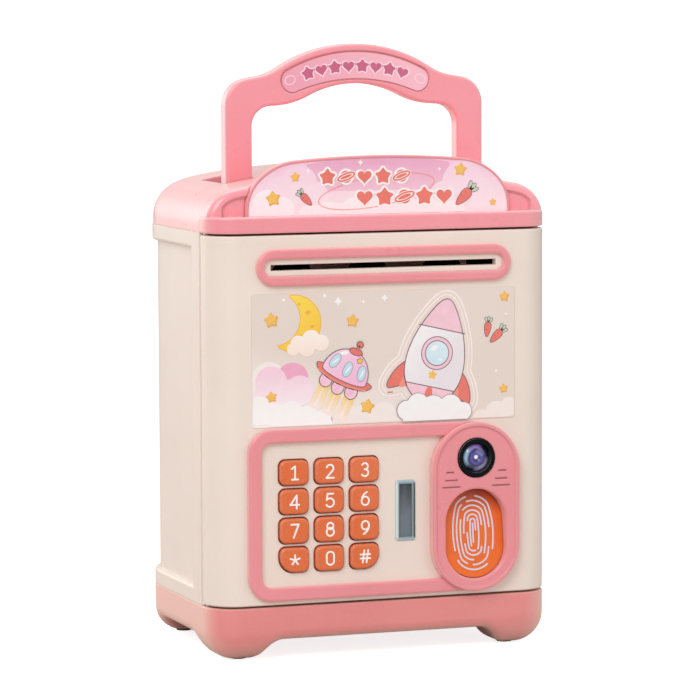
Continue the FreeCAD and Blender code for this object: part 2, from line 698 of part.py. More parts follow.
def door():
    plan = body_block(0.0, DOOR_BOTTOM_Z, DOOR_TOP_Z)
    plan = plan.common(box(-HALF_W, HALF_W, FRONT_Y, DOOR_BACK_Y, 0, 200))
    knuckle_block = box(-HALF_W, HINGE_X, HINGE_Y, DOOR_BACK_Y, 0, 200)
    for z in (DOOR_BOTTOM_Z, DOOR_TOP_Z):
        plan = softened(plan, 0.7, door_rim(z))
    plan = plan.cut(knuckle_block.cut(rod_z(0, 200, HINGE_X, HINGE_Y, HINGE_R)))
    inner = body_block(SKIN, DOOR_BOTTOM_Z + SKIN, DOOR_TOP_Z - SKIN)
    shell = plan.cut(inner)
    knuckle_h = 12.0
    for z0 in (DOOR_BOTTOM_Z, DOOR_TOP_Z - knuckle_h):
        shell = shell.fuse(rod_z(z0, z0 + knuckle_h, HINGE_X, HINGE_Y, HINGE_R))
    for x, z in DOOR_SCREWS:
        shell = shell.fuse(rod_y(DOOR_INNER_Y - 0.5, TRAY_FLANGE_Y, x, z, 3.0))
    shell = shell.cut(rod_z(0, 200, HINGE_X, HINGE_Y, HINGE_PIN_R + RUNNING))
    shell = shell.cut(facing_stadium(0, SLOT_Z, BEZEL_HALF_W - 2, BEZEL_R - 2, FRONT_Y - 1, DOOR_INNER_Y + 1))
    gap = KEY_GAP
    for name, x, z in key_places():
        shell = shell.cut(facing_block(x - KEY_W / 2 - gap, x + KEY_W / 2 + gap, z - KEY_H / 2 - gap,
                                       z + KEY_H / 2 + gap, FRONT_Y - 1, DOOR_INNER_Y + 1,
                                       key_radii(name, 2.6)))
    pod_half_h = (POD_TOP_Z - POD_BOTTOM_Z) / 2
    pod_z = POD_BOTTOM_Z + pod_half_h
    shell = shell.cut(facing_stadium(POD_X, pod_z, POD_R - 2.5, pod_half_h - 2.5, FRONT_Y - 1,
                                     DOOR_INNER_Y + 1))
    shell = shell.cut(box(WINDOW_X[0] + 0.8, WINDOW_X[1] - 0.8, FRONT_Y - 1, DOOR_INNER_Y + 1,
                          WINDOW_Z[0] + 0.8, WINDOW_Z[1] - 0.8))
    for x, z in DOOR_SCREWS:
        shell = shell.cut(rod_y(DOOR_INNER_Y + 0.5, TRAY_FLANGE_Y + 1, x, z, 1.2))
    for x, z in board_screw_places():
        shell = shell.fuse(rod_y(DOOR_INNER_Y - 0.5, BOARD_FRONT_Y, x, z, 2.4))
        shell = shell.cut(rod_y(DOOR_INNER_Y + 0.5, BOARD_FRONT_Y + 1, x, z, 1.0))
    return shell.removeSplitter()


def slot_bezel():
    front = FRONT_Y - BEZEL_PROUD
    ring = facing_stadium(0, SLOT_Z, BEZEL_HALF_W, BEZEL_R, front, FRONT_Y)
    ring = ring.fuse(facing_stadium(0, SLOT_Z, BEZEL_HALF_W - 2.05, BEZEL_R - 2.05, FRONT_Y, DOOR_INNER_Y + 1))
    ring = ring.cut(facing_stadium(0, SLOT_Z, 47.2, 3.05, front - 1, DOOR_INNER_Y + 2)).removeSplitter()
    return softened(ring, 1.1, lies_at_y(front))


def slot_liner():
    plate = facing_stadium(0, SLOT_Z, 47.2, 3.05, FRONT_Y - 0.2, DOOR_INNER_Y + 1)
    return plate.cut(box(-SLOT_HALF_W, SLOT_HALF_W, FRONT_Y - 2, DOOR_INNER_Y + 2, SLOT_Z - SLOT_HALF_H,
                         SLOT_Z + SLOT_HALF_H))


def picture_film():
    return facing_block(-52.0, 52.0, 87.6, 137.0, FRONT_Y - 0.25, FRONT_Y, [1.0] * 4)


def pod_outline(shrink, y0, y1):
    half_h = (POD_TOP_Z - POD_BOTTOM_Z) / 2
    return facing_stadium(POD_X, POD_BOTTOM_Z + half_h, POD_R - shrink, half_h - shrink, y0, y1)


def keypad_frame():
    front = FRONT_Y - FRAME_PROUD
    right = POD_X
    outer = facing_block(FRAME_LEFT_X, right, FRAME_BOTTOM_Z, FRAME_TOP_Z, front, FRONT_Y, [0.5, 9.0, 9.0, 0.5])
    inner = facing_block(FRAME_LEFT_X + FRAME_BAND, right + 5, FRAME_BOTTOM_Z + FRAME_BAND,
                         FRAME_TOP_Z - FRAME_BAND, front - 1, FRONT_Y + 1, [0.5, 4.0, 4.0, 0.5])
    ring = softened(outer.cut(inner), 0.9, lies_at_y(front))
    return ring.cut(pod_outline(0.0, front - 1, FRONT_Y + 1))


def pod():
    front = FRONT_Y - POD_PROUD
    face_y = front + POD_RIM
    shell = softened(pod_outline(0.0, front, FRONT_Y), 0.6, lies_at_y(front))
    shell = shell.cut(pod_outline(1.5, front - 1, face_y))
    shell = shell.fuse(pod_outline(2.6, FRONT_Y, POD_BACK_Y))
    shell = shell.cut(rod_y(front - 1, POD_BACK_Y + 1, POD_X, LENS_Z, LENS_R + 0.35))
    shell = shell.cut(facing_stadium(POD_X, FINGER_Z, FINGER_R, FINGER_HALF_H, front - 1, POD_BACK_Y - 1.4))
    shell = softened(shell, 0.8, finger_rim(face_y))
    shell = shell.cut(rod_y(front - 1, POD_BACK_Y + 1, POD_X, PAD_STEM_Z, 2.0))
    for z, inner, outer in ((68.0, 8.9, 12.15), (65.0, 7.5, 12.5), (62.4, 6.4, 13.6)):
        for side in (-1, 1):
            x0 = POD_X + min(side * inner, side * outer)
            x1 = POD_X + max(side * inner, side * outer)
            shell = shell.cut(box(x0, x1, front - 1, POD_BACK_Y + 1, z - 0.3, z + 0.3))
    return shell.removeSplitter()


def finger_rim(face_y):
    """Test for the finger recess's edges in the pod's face."""
    def chosen(span):
        inside = span.ZMax < FINGER_Z + FINGER_HALF_H + 0.5 and abs(span.XMin - POD_X) < FINGER_R + 0.5
        return lies_at_y(face_y)(span) and inside and abs(span.XMax - POD_X) < FINGER_R + 0.5
    return chosen


PAD_STEM_Z = 38.0
PAD_BACK_Y = -44.9


def fingerprint_pad():
    half_h = FINGER_HALF_H - 0.3
    pad = facing_stadium(POD_X, FINGER_Z, PAD_R, half_h, PAD_FACE_Y[0] - 1, PAD_BACK_Y)
    low = Vector(0, PAD_FACE_Y[0], FINGER_Z - half_h)
    high = Vector(0, PAD_FACE_Y[1], FINGER_Z + half_h)
    overhang = Part.makePolygon([low, high, high + Vector(0, -9, 2), low + Vector(0, -9, -2), low])
    pad = pad.cut(Part.Face(overhang).extrude(Vector(HALF_W, 0, 0)))
    return pad.fuse(rod_y(PAD_BACK_Y - 0.5, -41.4, POD_X, PAD_STEM_Z, 1.5)).removeSplitter()


def lens_ring():
    ring = rod_y(-52.0, POD_BACK_Y, POD_X, LENS_Z, LENS_R)
    ring = ring.cut(rod_y(-53.0, -50.6, POD_X, LENS_Z, 5.6))
    return ring.cut(rod_y(-53.0, POD_BACK_Y - 2.0, POD_X, LENS_Z, 4.4)).removeSplitter()


def lens_iris():
    disc = rod_y(POD_BACK_Y - 4.0, POD_BACK_Y - 2.0, POD_X, LENS_Z, 4.4)
    return disc.cut(rod_y(POD_BACK_Y - 5.0, POD_BACK_Y - 2.6, POD_X, LENS_Z, 1.8))


def lens_glass():
    sphere = Part.makeSphere(9.0, Vector(POD_X, -43.2, LENS_Z))
    disc = rod_y(-53.0, -50.6, POD_X, LENS_Z, 5.6)
    return sphere.common(disc)


BOARD_FRONT_Y = -40.7
MAT_BACK_Y = BOARD_FRONT_Y
KEY_BACK_Y = -44.1


def key_cap(name, x, z):
    radii = key_radii(name, 2.5)
    half_w = KEY_W / 2
    half_h = KEY_H / 2
    cap = facing_block(x - half_w, x + half_w, z - half_h, z + half_h, FRONT_Y - KEY_PROUD, DOOR_INNER_Y + 0.3,
                       radii)
    front_edges = []
    for edge in cap.Edges:
        if edge.BoundBox.YMax < FRONT_Y - KEY_PROUD + 0.01:
            front_edges.append(edge)
    cap = cap.makeFillet(0.7, front_edges)
    flange = facing_block(x - half_w - 0.8, x + half_w + 0.8, z - half_h - 0.4, z + half_h + 0.4,
                          DOOR_INNER_Y + 0.05, KEY_BACK_Y, key_radii(name, 2.8))
    return cap.fuse(flange).removeSplitter()


def board_screw_places():
    return ((-48.0, 33.0), (-48.0, 76.0), (14.5, 33.0), (14.5, 76.0))


def keypad_mat():
    sheet = facing_block(-44.5, 0.5, 31.5, 77.0, MAT_BACK_Y - 1.0, MAT_BACK_Y, [2.0] * 4)
    domes = []
    for _, x, z in key_places():
        domes.append(rod_y(MAT_BACK_Y - 1.9, MAT_BACK_Y - 0.5, x, z, 3.2))
    return fused([sheet] + domes)


def keypad_board():
    board = facing_block(-51.5, 17.0, 29.5, 79.5, BOARD_FRONT_Y, BOARD_FRONT_Y + 1.6, [1.5] * 4)
    chip = box(2.5, 10.5, BOARD_FRONT_Y + 1.6, BOARD_FRONT_Y + 3.0, 40.0, 52.0)
    plug = box(-46.0, -34.0, BOARD_FRONT_Y + 1.6, BOARD_FRONT_Y + 4.6, 60.0, 65.0)
    board = board.fuse(chip).fuse(plug)
    for x, z in board_screw_places():
        board = board.cut(rod_y(BOARD_FRONT_Y - 1, BOARD_FRONT_Y + 3, x, z, 1.2))
    return board


def board_screws():
    screws = []
    for x, z in board_screw_places():
        screws.append(screw(x, BOARD_FRONT_Y + 1.6, z, (0, -1, 0), 4.0, 2.2, 1.0))
    return group(screws)


def status_leds():
    lights = []
    for z in (49.0, 54.3, 59.6):
        lights.append(rod_y(-45.3, BOARD_FRONT_Y, (WINDOW_X[0] + WINDOW_X[1]) / 2, z, 1.5))
    return group(lights)


def window_bezel():
    x0, x1 = WINDOW_X
    z0, z1 = WINDOW_Z
    ring = facing_block(x0, x1, z0, z1, FRONT_Y - 0.6, FRONT_Y, [1.2] * 4)
    ring = softened(ring, 0.4, lies_at_y(FRONT_Y - 0.6))
    ring = ring.fuse(box(x0 + 0.85, x1 - 0.85, FRONT_Y - 0.3, DOOR_INNER_Y, z0 + 0.85, z1 - 0.85))
    return ring.cut(box(x0 + 1.5, x1 - 1.5, FRONT_Y - 2, DOOR_INNER_Y + 1, z0 + 1.5, z1 - 1.5)).removeSplitter()


def window_lens():
    x0, x1 = WINDOW_X
    z0, z1 = WINDOW_Z
    return box(x0 + 1.5, x1 - 1.5, FRONT_Y - 0.1, FRONT_Y + 1.4, z0 + 1.5, z1 - 1.5)


def speaker():
    x = POD_X
    z = 64.5
    cone_ring = rod_y(POD_BACK_Y + 0.4, POD_BACK_Y + 2.4, x, z, 13.5)
    cone_ring = cone_ring.cut(Part.makeCone(12.0, 5.0, 1.6, Vector(x, POD_BACK_Y + 0.3, z), Vector(0, 1, 0)))
    magnet = rod_y(POD_BACK_Y + 2.4, POD_BACK_Y + 6.2, x, z, 7.5)
    ears = []
    for side in (-1, 1):
        ear_x = x + side * 15.0
        ears.append(box(ear_x - 2, ear_x + 2, POD_BACK_Y + 1.2, POD_BACK_Y + 2.4, z - 2, z + 2))
    return fused([cone_ring, magnet] + ears)


def sensor_board():
    x = POD_X
    board = facing_block(x - 12.0, x + 12.0, 27.5, 49.0, -38.8, -37.2, [1.5] * 4)
    switch = box(x - 2.5, x + 2.5, -40.2, -38.8, PAD_STEM_Z - 2.5, PAD_STEM_Z + 2.5)
    return board.fuse(switch).removeSplitter()


# ---------------------------------------------------------------- banknote feeder
def feeder_bracket():
    z_top = 153.9
    plates = []
    for side in (-1, 1):
        x0 = side * CHEEK_X if side > 0 else -CHEEK_X - CHEEK_T
        z_low = MOTOR_Z - 8.5 if side > 0 else 133.0
        plates.append(box(x0, x0 + CHEEK_T, -44.3, -19.5, z_low, z_top))
    plates.append(box(-CHEEK_X - CHEEK_T, CHEEK_X + CHEEK_T, -44.3, -42.8, 133.0, 143.5))
    plates.append(box(-CHEEK_X - CHEEK_T, CHEEK_X + CHEEK_T, -24.6, -22.0, 150.0, z_top))
    bracket = fused(plates)
    for z in (FEED_Z, PINCH_Z, MOTOR_Z):
        bracket = bracket.cut(rod_x(-HALF_W, HALF_W, FEED_Y, z, SHAFT_R + RUNNING))
    return bracket


def involute_gear(teeth, bore_r, x0, x1, y, z, turn_deg):
    """Spur gear about an axis along X, teeth cut to the involute with a little backlash."""
    pitch_r = MODULE * teeth / 2
    base_r = pitch_r * math.cos(math.radians(20.0))
    tip_r = pitch_r + 0.8 * MODULE
    root_r = pitch_r - 1.1 * MODULE
    backlash = 0.06

    def polar(radius, angle):
        return Vector(0, radius * math.cos(angle), radius * math.sin(angle))

    def flank_angle(radius):
        if radius <= base_r:
            return 0.0
        lean = math.sqrt((radius / base_r) ** 2 - 1)
        return lean - math.atan(lean)

    half_tooth = math.pi / (2 * teeth) - backlash / (2 * pitch_r)
    start = flank_angle(pitch_r)
    steps = 4
    outline = []
    for tooth in range(teeth):
        middle = 2 * math.pi * tooth / teeth + math.radians(turn_deg)
        radii = []
        for step in range(steps + 1):
            radii.append(max(root_r, base_r) + (tip_r - max(root_r, base_r)) * step / steps)
        flank = []
        if root_r < base_r:
            flank.append((root_r, half_tooth + start))
        for radius in radii:
            flank.append((radius, half_tooth + start - flank_angle(radius)))
        for radius, offset in flank:
            outline.append(polar(radius, middle - offset))
        for radius, offset in reversed(flank):
            outline.append(polar(radius, middle + offset))
    outline.append(outline[0])
    face = Part.Face(Part.makePolygon(outline))
    wheel = face.extrude(Vector(x1 - x0, 0, 0))
    wheel.translate(Vector(x0, y, z))
    if bore_r:
        wheel = wheel.cut(rod_x(x0 - 1, x1 + 1, y, z, bore_r))
    return wheel


GEAR_X = (47.4, 50.4)


def feed_gear():
    wheel = involute_gear(GEAR_TEETH, SHAFT_R, GEAR_X[0], GEAR_X[1], FEED_Y, FEED_Z, 0.0)
    return wheel.cut(rod_x(GEAR_X[0] + 2.0, GEAR_X[1] + 1, FEED_Y, FEED_Z, 8.6).cut(
        rod_x(GEAR_X[0], GEAR_X[1] + 2, FEED_Y, FEED_Z, 3.4)))


def motor_pinion():
    # a tooth of the wheel points straight down (270 degrees is a whole number of its 10-degree pitches),
    # so the pinion turns a gap straight up
    upward = 90.0 + 180.0 / PINION_TEETH
    return involute_gear(PINION_TEETH, 1.0, GEAR_X[0], GEAR_X[1], FEED_Y, MOTOR_Z, upward)


def feed_shaft():
    return rod_x(-47.5, 51.0, FEED_Y, FEED_Z, SHAFT_R)


def tyres(radius, bore, z):
    rings = []
    for x in (-30.0, 0.0, 30.0):
        ring = rod_x(x - 6.0, x + 6.0, FEED_Y, z, radius).cut(rod_x(x - 7.0, x + 7.0, FEED_Y, z, bore))
        rings.append(ring)
    return group(rings)


def feed_tyres():
    return tyres(FEED_R, SHAFT_R, FEED_Z)


def pinch_roller():
    shaft = rod_x(-47.0, 47.0, FEED_Y, PINCH_Z, SHAFT_R)
    sleeves = []
    for x in (-30.0, 0.0, 30.0):
        sleeves.append(rod_x(x - 6.0, x + 6.0, FEED_Y, PINCH_Z, PINCH_R))
    return fused([shaft] + sleeves)


def feed_motor():
    can = rod_x(20.0, 43.4, FEED_Y, MOTOR_Z, 7.6)
    nose = rod_x(43.4, CHEEK_X, FEED_Y, MOTOR_Z, 3.0)
    cap = rod_x(17.0, 20.0, FEED_Y, MOTOR_Z, 4.0)
    flats = box(10, 60, FEED_Y - 20, FEED_Y + 20, MOTOR_Z - 6.1, MOTOR_Z + 6.1)
    body = fused([can, nose, cap]).common(flats)
    return body.cut(rod_x(40.0, 50.0, FEED_Y, MOTOR_Z, 1.0 + RUNNING))


def motor_shaft():
    return rod_x(41.0, 51.0, FEED_Y, MOTOR_Z, 1.0)


# ---------------------------------------------------------------- latch
def latch_solenoid():
    coil = rod_x(32.0, 45.0, LATCH_Y, LATCH_Z, 6.5)
    yoke = box(30.6, 46.4, LATCH_Y - 6.8, LATCH_Y + 6.8, LATCH_Z - 8.0, LATCH_Z - 6.4)
    ends = []
    for x in (30.6, 45.0):
        ends.append(box(x, x + 1.4, LATCH_Y - 6.8, LATCH_Y + 6.8, LATCH_Z - 8.0, LATCH_Z + 6.8))
    whole = fused([coil, yoke] + ends)
    return whole.cut(rod_x(20.0, 60.0, LATCH_Y, LATCH_Z, 2.5 + RUNNING))


def latch_bolt():
    plunger = rod_x(22.0, 47.3, LATCH_Y, LATCH_Z, 2.5)
    cap = rod_x(22.0, 23.2, LATCH_Y, LATCH_Z, 4.2)
    half_t = LATCH_HEAD[0] / 2
    half_h = LATCH_HEAD[1] / 2
    head = box(51.2, LATCH_TIP_X, LATCH_Y - half_t, LATCH_Y + half_t, LATCH_Z - half_h, LATCH_Z + half_h)
    neck = rod_x(47.0, 52.0, LATCH_Y, LATCH_Z, 2.0)
    return fused([plunger, cap, head, neck])


def coil_spring(x0, x1, y, z, radius, wire_r, turns):
    """Compression spring along X, wound from eight-sided wire."""
    length = x1 - x0 - 2 * wire_r
    helix = Part.makeHelix(length / turns, length, radius)
    corners = []
    for step in range(9):
        angle = math.pi * (step + 0.5) / 4
        corners.append(Vector(radius + wire_r * math.cos(angle), 0, wire_r * math.sin(angle)))
    spring = Part.Wire(helix).makePipeShell([Part.makePolygon(corners)], True, True)
    spring.rotate(Vector(0, 0, 0), Vector(0, 1, 0), 90)
    spring.translate(Vector(x0 + wire_r, y, z))
    return spring


def latch_spring():
    return coil_spring(23.25, 30.55, LATCH_Y, LATCH_Z, 3.3, 0.3, 5)


# ---------------------------------------------------------------- back of the door
def battery_pocket(grow, y0, y1):
    x0 = CELL_X[0] - CELL_R - 0.6 - grow
    x1 = CELL_X[2] + CELL_R + 0.6 + grow
    z0 = CELL_BOTTOM_Z - 1.5 - grow
    z1 = CELL_BOTTOM_Z + CELL_LENGTH + 2.2 + grow
    return box(x0, x1, y0, y1, z0, z1)


LID_SCREW_Z = 85.4


def lid_outline(grow, y0, y1):
    plate = battery_pocket(2.0 + grow, y0, y1)
    tab = box(-7.0 - grow, 3.0 + grow, y0, y1, 80.0, LID_SCREW_Z + 4.0 + grow)
    return plate.fuse(tab).removeSplitter()


def door_inner_cover():
    z0, z1 = TRAY_Z
    flange = box(-61.0, 61.0, TRAY_FLANGE_Y, TRAY_FLANGE_Y + TRAY_T, z0, z1)
    tray = box(-TRAY_X, TRAY_X, TRAY_FLANGE_Y, TRAY_BACK_Y, z0, z1)
    whole = flange.fuse(tray)
    whole = whole.cut(box(-TRAY_X + TRAY_T, TRAY_X - TRAY_T, -50, TRAY_BACK_Y - TRAY_T, z0 + TRAY_T,
                          z1 - TRAY_T * 0.8))
    whole = whole.fuse(battery_pocket(TRAY_T, CELL_Y - CELL_R - 2.0, TRAY_BACK_Y))
    whole = whole.fuse(battery_pocket(4.0, TRAY_BACK_Y - 3.4, TRAY_BACK_Y))
    whole = whole.fuse(box(-9.0, 5.0, TRAY_BACK_Y - 3.4, TRAY_BACK_Y, 78.0, LID_SCREW_Z + 6.0))
    whole = whole.fuse(rod_y(-24.0, TRAY_BACK_Y, -2.0, LID_SCREW_Z, 3.2))
    whole = whole.cut(battery_pocket(0.0, CELL_Y - CELL_R - 0.5, TRAY_BACK_Y + 1))
    whole = whole.cut(lid_outline(0.2, TRAY_BACK_Y - 1.8, TRAY_BACK_Y + 1).cut(
        battery_pocket(0.0, -50, 0)))
    whole = whole.cut(rod_y(-23.0, 0.0, -2.0, LID_SCREW_Z, 1.4))
    whole = whole.cut(box(-45.5, 45.5, TRAY_BACK_Y - 3, TRAY_BACK_Y + 1, SLOT_Z - 3.0, SLOT_Z + 3.0))
    half_t = LATCH_HEAD[0] / 2 + 0.3
    half_h = LATCH_HEAD[1] / 2 + 0.3
    whole = whole.cut(box(TRAY_X - 3, TRAY_X + 1, LATCH_Y - half_t, LATCH_Y + half_t, LATCH_Z - half_h,
                          LATCH_Z + half_h))
    for x, z in DOOR_SCREWS:
        whole = whole.cut(rod_y(TRAY_FLANGE_Y - 1, TRAY_FLANGE_Y + TRAY_T + 1, x, z, 1.5))
    return whole.removeSplitter()


def cover_back_screws():
    screws = []
    for x, z in DOOR_SCREWS:
        screws.append(screw(x, TRAY_FLANGE_Y + TRAY_T, z, (0, -1, 0), 8.0))
    return group(screws)


def battery_cover():
    lid = lid_outline(0.0, TRAY_BACK_Y - 1.6, TRAY_BACK_Y)
    for z in (40.0, 43.0, 46.0):
        lid = lid.cut(box(-12.0, 8.0, TRAY_BACK_Y - 0.5, TRAY_BACK_Y + 1, z - 0.6, z + 0.6))
    return lid.cut(rod_y(-20, 0, -2.0, LID_SCREW_Z, 1.35))


def battery_cover_screw():
    return screw(-2.0, TRAY_BACK_Y, LID_SCREW_Z, (0, -1, 0), 7.0, 2.4, 1.3)


def battery_cells():
    cells = []
    for x in CELL_X:
        cell = rod_z(CELL_BOTTOM_Z, CELL_BOTTOM_Z + CELL_LENGTH - 1.0, x, CELL_Y, CELL_R - 0.1)
        nub = rod_z(CELL_BOTTOM_Z + CELL_LENGTH - 1.0, CELL_BOTTOM_Z + CELL_LENGTH, x, CELL_Y, 2.6)
        cells.append(cell.fuse(nub))
    return group(cells)


def battery_contacts():
    plates = []
    top = CELL_BOTTOM_Z + CELL_LENGTH
    for x in CELL_X:
        plates.append(box(x - 4.5, x + 4.5, CELL_Y - 5, CELL_Y + 5, top + 1.7, top + 2.2).fuse(
            Part.makeCone(3.4, 1.6, 1.7, Vector(x, CELL_Y, top + 1.7), Vector(0, 0, -1))))
        plates.append(box(x - 4.5, x + 4.5, CELL_Y - 5, CELL_Y + 5, CELL_BOTTOM_Z - 1.5, CELL_BOTTOM_Z - 1.0).fuse(
            rod_z(CELL_BOTTOM_Z - 1.0, CELL_BOTTOM_Z, x, CELL_Y, 2.0)))
    return group(plates)


def hinge_pins():
    lower = rod_z(SEAM_Z - 3.5, DOOR_BOTTOM_Z + 9.0, HINGE_X, HINGE_Y, HINGE_PIN_R)
    upper = rod_z(DOOR_TOP_Z - 9.0, COVER_Z + 3.5, HINGE_X, HINGE_Y, HINGE_PIN_R)
    return group([lower, upper])


PIECES = {
    "base": base, "foot_pads": foot_pads, "housing_screws": housing_screws, "rear_shell": rear_shell,
    "strike_plate": strike_plate, "top_cover": top_cover,
    "coin_slot_liner": coin_slot_liner, "sign_plate": sign_plate, "sign_face": sign_face,
    "handle": handle, "handle_plaque": handle_plaque, "handle_pins": handle_pins,
    "hinge_pins": hinge_pins,
    "door": door, "slot_bezel": slot_bezel, "slot_liner": slot_liner, "picture_film": picture_film,
    "keypad_frame": keypad_frame, "sensor_pod": pod, "fingerprint_pad": fingerprint_pad,
    "lens_ring": lens_ring, "lens_iris": lens_iris, "lens_glass": lens_glass,
    "keypad_mat": keypad_mat, "keypad_board": keypad_board, "board_screws": board_screws,
    "status_leds": status_leds, "window_bezel": window_bezel, "window_lens": window_lens,
    "speaker": speaker, "sensor_board": sensor_board, "feeder_bracket": feeder_bracket,
    "feed_shaft": feed_shaft, "feed_tyres": feed_tyres, "feed_gear": feed_gear,
    "pinch_roller": pinch_roller, "feed_motor": feed_motor, "motor_shaft": motor_shaft,
    "motor_pinion": motor_pinion, "latch_solenoid": latch_solenoid, "latch_bolt": latch_bolt,
    "latch_spring": latch_spring, "door_inner_cover": door_inner_cover,
    "cover_back_screws": cover_back_screws, "battery_cover": battery_cover,
    "battery_cover_screw": battery_cover_screw, "battery_cells": battery_cells,
    "battery_contacts": battery_contacts,
}


def write(name, shape):
    if not shape.isValid():
        print("not valid:", name)
    shape.translate(Vector(0, CENTRING_Y, 0))
    shape.exportStep(os.path.join("parts", name + ".step"))
    print(name, len(shape.Solids), "solids", round(shape.Volume, 1), "mm3")


os.makedirs("parts", exist_ok=True)
for piece_name, maker in PIECES.items():
    write(piece_name, maker())
for key_name, key_x, key_z in key_places():
    write(key_name, key_cap(key_name, key_x, key_z))
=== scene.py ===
"""A toy safe coin bank in cream and pink plastic: materials, printed art, lens and studio.

Sizes of the artwork are in millimetres in the plane of the surface it is printed on; Blender's own
units are metres, so MM turns one into the other. Every place comes from the frame's boxes.
"""
import json
import math

import bmesh
import bpy
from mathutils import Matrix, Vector


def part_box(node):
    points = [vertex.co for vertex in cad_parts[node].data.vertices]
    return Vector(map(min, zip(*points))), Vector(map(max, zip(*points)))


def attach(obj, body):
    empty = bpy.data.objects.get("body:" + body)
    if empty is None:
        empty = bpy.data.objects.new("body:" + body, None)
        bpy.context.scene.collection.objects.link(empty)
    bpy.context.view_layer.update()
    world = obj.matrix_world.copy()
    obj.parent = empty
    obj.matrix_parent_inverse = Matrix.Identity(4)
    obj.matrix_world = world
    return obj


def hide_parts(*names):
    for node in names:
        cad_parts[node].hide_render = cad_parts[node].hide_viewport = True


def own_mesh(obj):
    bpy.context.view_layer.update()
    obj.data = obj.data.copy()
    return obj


MM = 0.001
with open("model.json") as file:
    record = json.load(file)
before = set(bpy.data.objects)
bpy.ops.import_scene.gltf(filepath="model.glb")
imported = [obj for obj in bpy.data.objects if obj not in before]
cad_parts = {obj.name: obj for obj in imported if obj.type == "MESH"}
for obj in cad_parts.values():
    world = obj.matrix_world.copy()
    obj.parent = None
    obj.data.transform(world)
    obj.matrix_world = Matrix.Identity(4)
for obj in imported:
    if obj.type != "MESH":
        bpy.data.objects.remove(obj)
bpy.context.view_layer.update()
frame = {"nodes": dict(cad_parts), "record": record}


# ---------------------------------------------------------------- colours
def srgb(red, green, blue):
    """Linear colour of a 0-255 display colour."""
    def linear(level):
        share = level / 255
        return share / 12.92 if share <= 0.04045 else ((share + 0.055) / 1.055) ** 2.4
    return (linear(red), linear(green), linear(blue), 1.0)


def lighter(colour, share):
    """A colour moved towards white by a share."""
    return tuple(c + (1 - c) * share for c in colour[:3]) + (1.0,)


def darker(colour, share):
    """A colour moved towards black by a share."""
    return tuple(c * (1 - share) for c in colour[:3]) + (1.0,)


CREAM = srgb(240, 225, 212)
PINK_SHELL = srgb(247, 150, 160)
PINK_TRIM = srgb(238, 143, 149)
PINK_BASE = srgb(234, 139, 136)
ORANGE = srgb(228, 100, 4)
WHITE = srgb(250, 248, 246)
INK = srgb(120, 88, 96)


# ---------------------------------------------------------------- materials
class Finish:
    """A node material under construction. Lengths in it are metres in the object's own space."""

    def __init__(self, name, colour, roughness=0.4, metallic=0.0):
        self.material = bpy.data.materials.new(name)
        self.material.use_nodes = True
        self.material.diffuse_color = colour
        self.tree = self.material.node_tree
        self.surface = self.tree.nodes["Principled BSDF"]
        self.place = self.node("TexCoord", {}).outputs["Object"]
        self.set("Base Color", colour)
        self.set("Roughness", roughness)
        self.set("Metallic", metallic)

    def node(self, kind, inputs, **settings):
        made = self.tree.nodes.new("ShaderNode" + kind)
        for key, value in settings.items():
            setattr(made, key, value)
        for name, value in inputs.items():
            self.feed(made.inputs[name], value)
        return made

    def feed(self, socket, value):
        if isinstance(value, bpy.types.NodeSocket):
            self.tree.links.new(value, socket)
        else:
            socket.default_value = value

    def set(self, name, value):
        self.feed(self.surface.inputs[name], value)

    def noise(self, scale, detail=2.0, place=None):
        made = self.node("TexNoise", {"Vector": place or self.place, "Scale": scale, "Detail": detail})
        return made.outputs["Fac"]

    def math(self, operation, first, second=0.5, clamp=False):
        made = self.node("Math", {0: first, 1: second}, operation=operation, use_clamp=clamp)
        return made.outputs[0]

    def ramp(self, value, low, high, out_low=0.0, out_high=1.0):
        made = self.node("MapRange", {"Value": value, "From Min": low, "From Max": high,
                                      "To Min": out_low, "To Max": out_high})
        return made.outputs["Result"]

    def mix(self, share, first, second):
        made = self.node("Mix", {}, data_type="RGBA")
        self.feed(made.inputs["Factor"], share)
        self.feed(made.inputs["A"], first)
        self.feed(made.inputs["B"], second)
        return made.outputs["Result"]

    def bands(self, value, stops):
        """The colour at a value from 0 to 1, between (position, colour) stops."""
        made = self.node("ValToRGB", {"Fac": value})
        elements = made.color_ramp.elements
        elements[0].position, elements[0].color = stops[0]
        elements[1].position, elements[1].color = stops[-1]
        for position, colour in stops[1:-1]:
            elements.new(position).color = colour
        return made.outputs["Color"]

    def vector(self, operation, first, second=(0, 0, 0), output="Vector"):
        return self.node("VectorMath", {0: first, 1: second}, operation=operation).outputs[output]

    def dot(self, first, second):
        return self.vector("DOT_PRODUCT", first, second, "Value")

    def along(self, direction, start, end):
        """0 to 1 from a start to an end, measured along a direction."""
        return self.ramp(self.dot(self.place, direction), start, end)

    def edge_mask(self, radius):
        """0 on flat faces, up to 1 on a convex or concave edge within a radius."""
        bevel = self.node("Bevel", {"Radius": radius}, samples=4)
        rounded = bevel.outputs["Normal"]
        flat = self.node("NewGeometry", {}).outputs["Normal"]
        return self.ramp(self.dot(rounded, flat), 1.0, 0.8), rounded

    def facing(self, normal, direction):
        """How far the normal points in a direction of the piece itself, from -1 to 1, whatever the pose."""
        own = self.node("VectorTransform", {"Vector": normal}, vector_type="NORMAL", convert_from="WORLD",
                        convert_to="OBJECT").outputs["Vector"]
        return self.dot(own, direction)

    def coat(self, weight, roughness):
        self.set("Coat Weight", weight)
        self.set("Coat Roughness", roughness)

    def bump(self, height, distance, strength=1.0, normal=None):
        inputs = {"Height": height, "Distance": distance, "Strength": strength}
        if normal:
            inputs["Normal"] = normal
        self.set("Normal", self.node("Bump", inputs).outputs["Normal"])


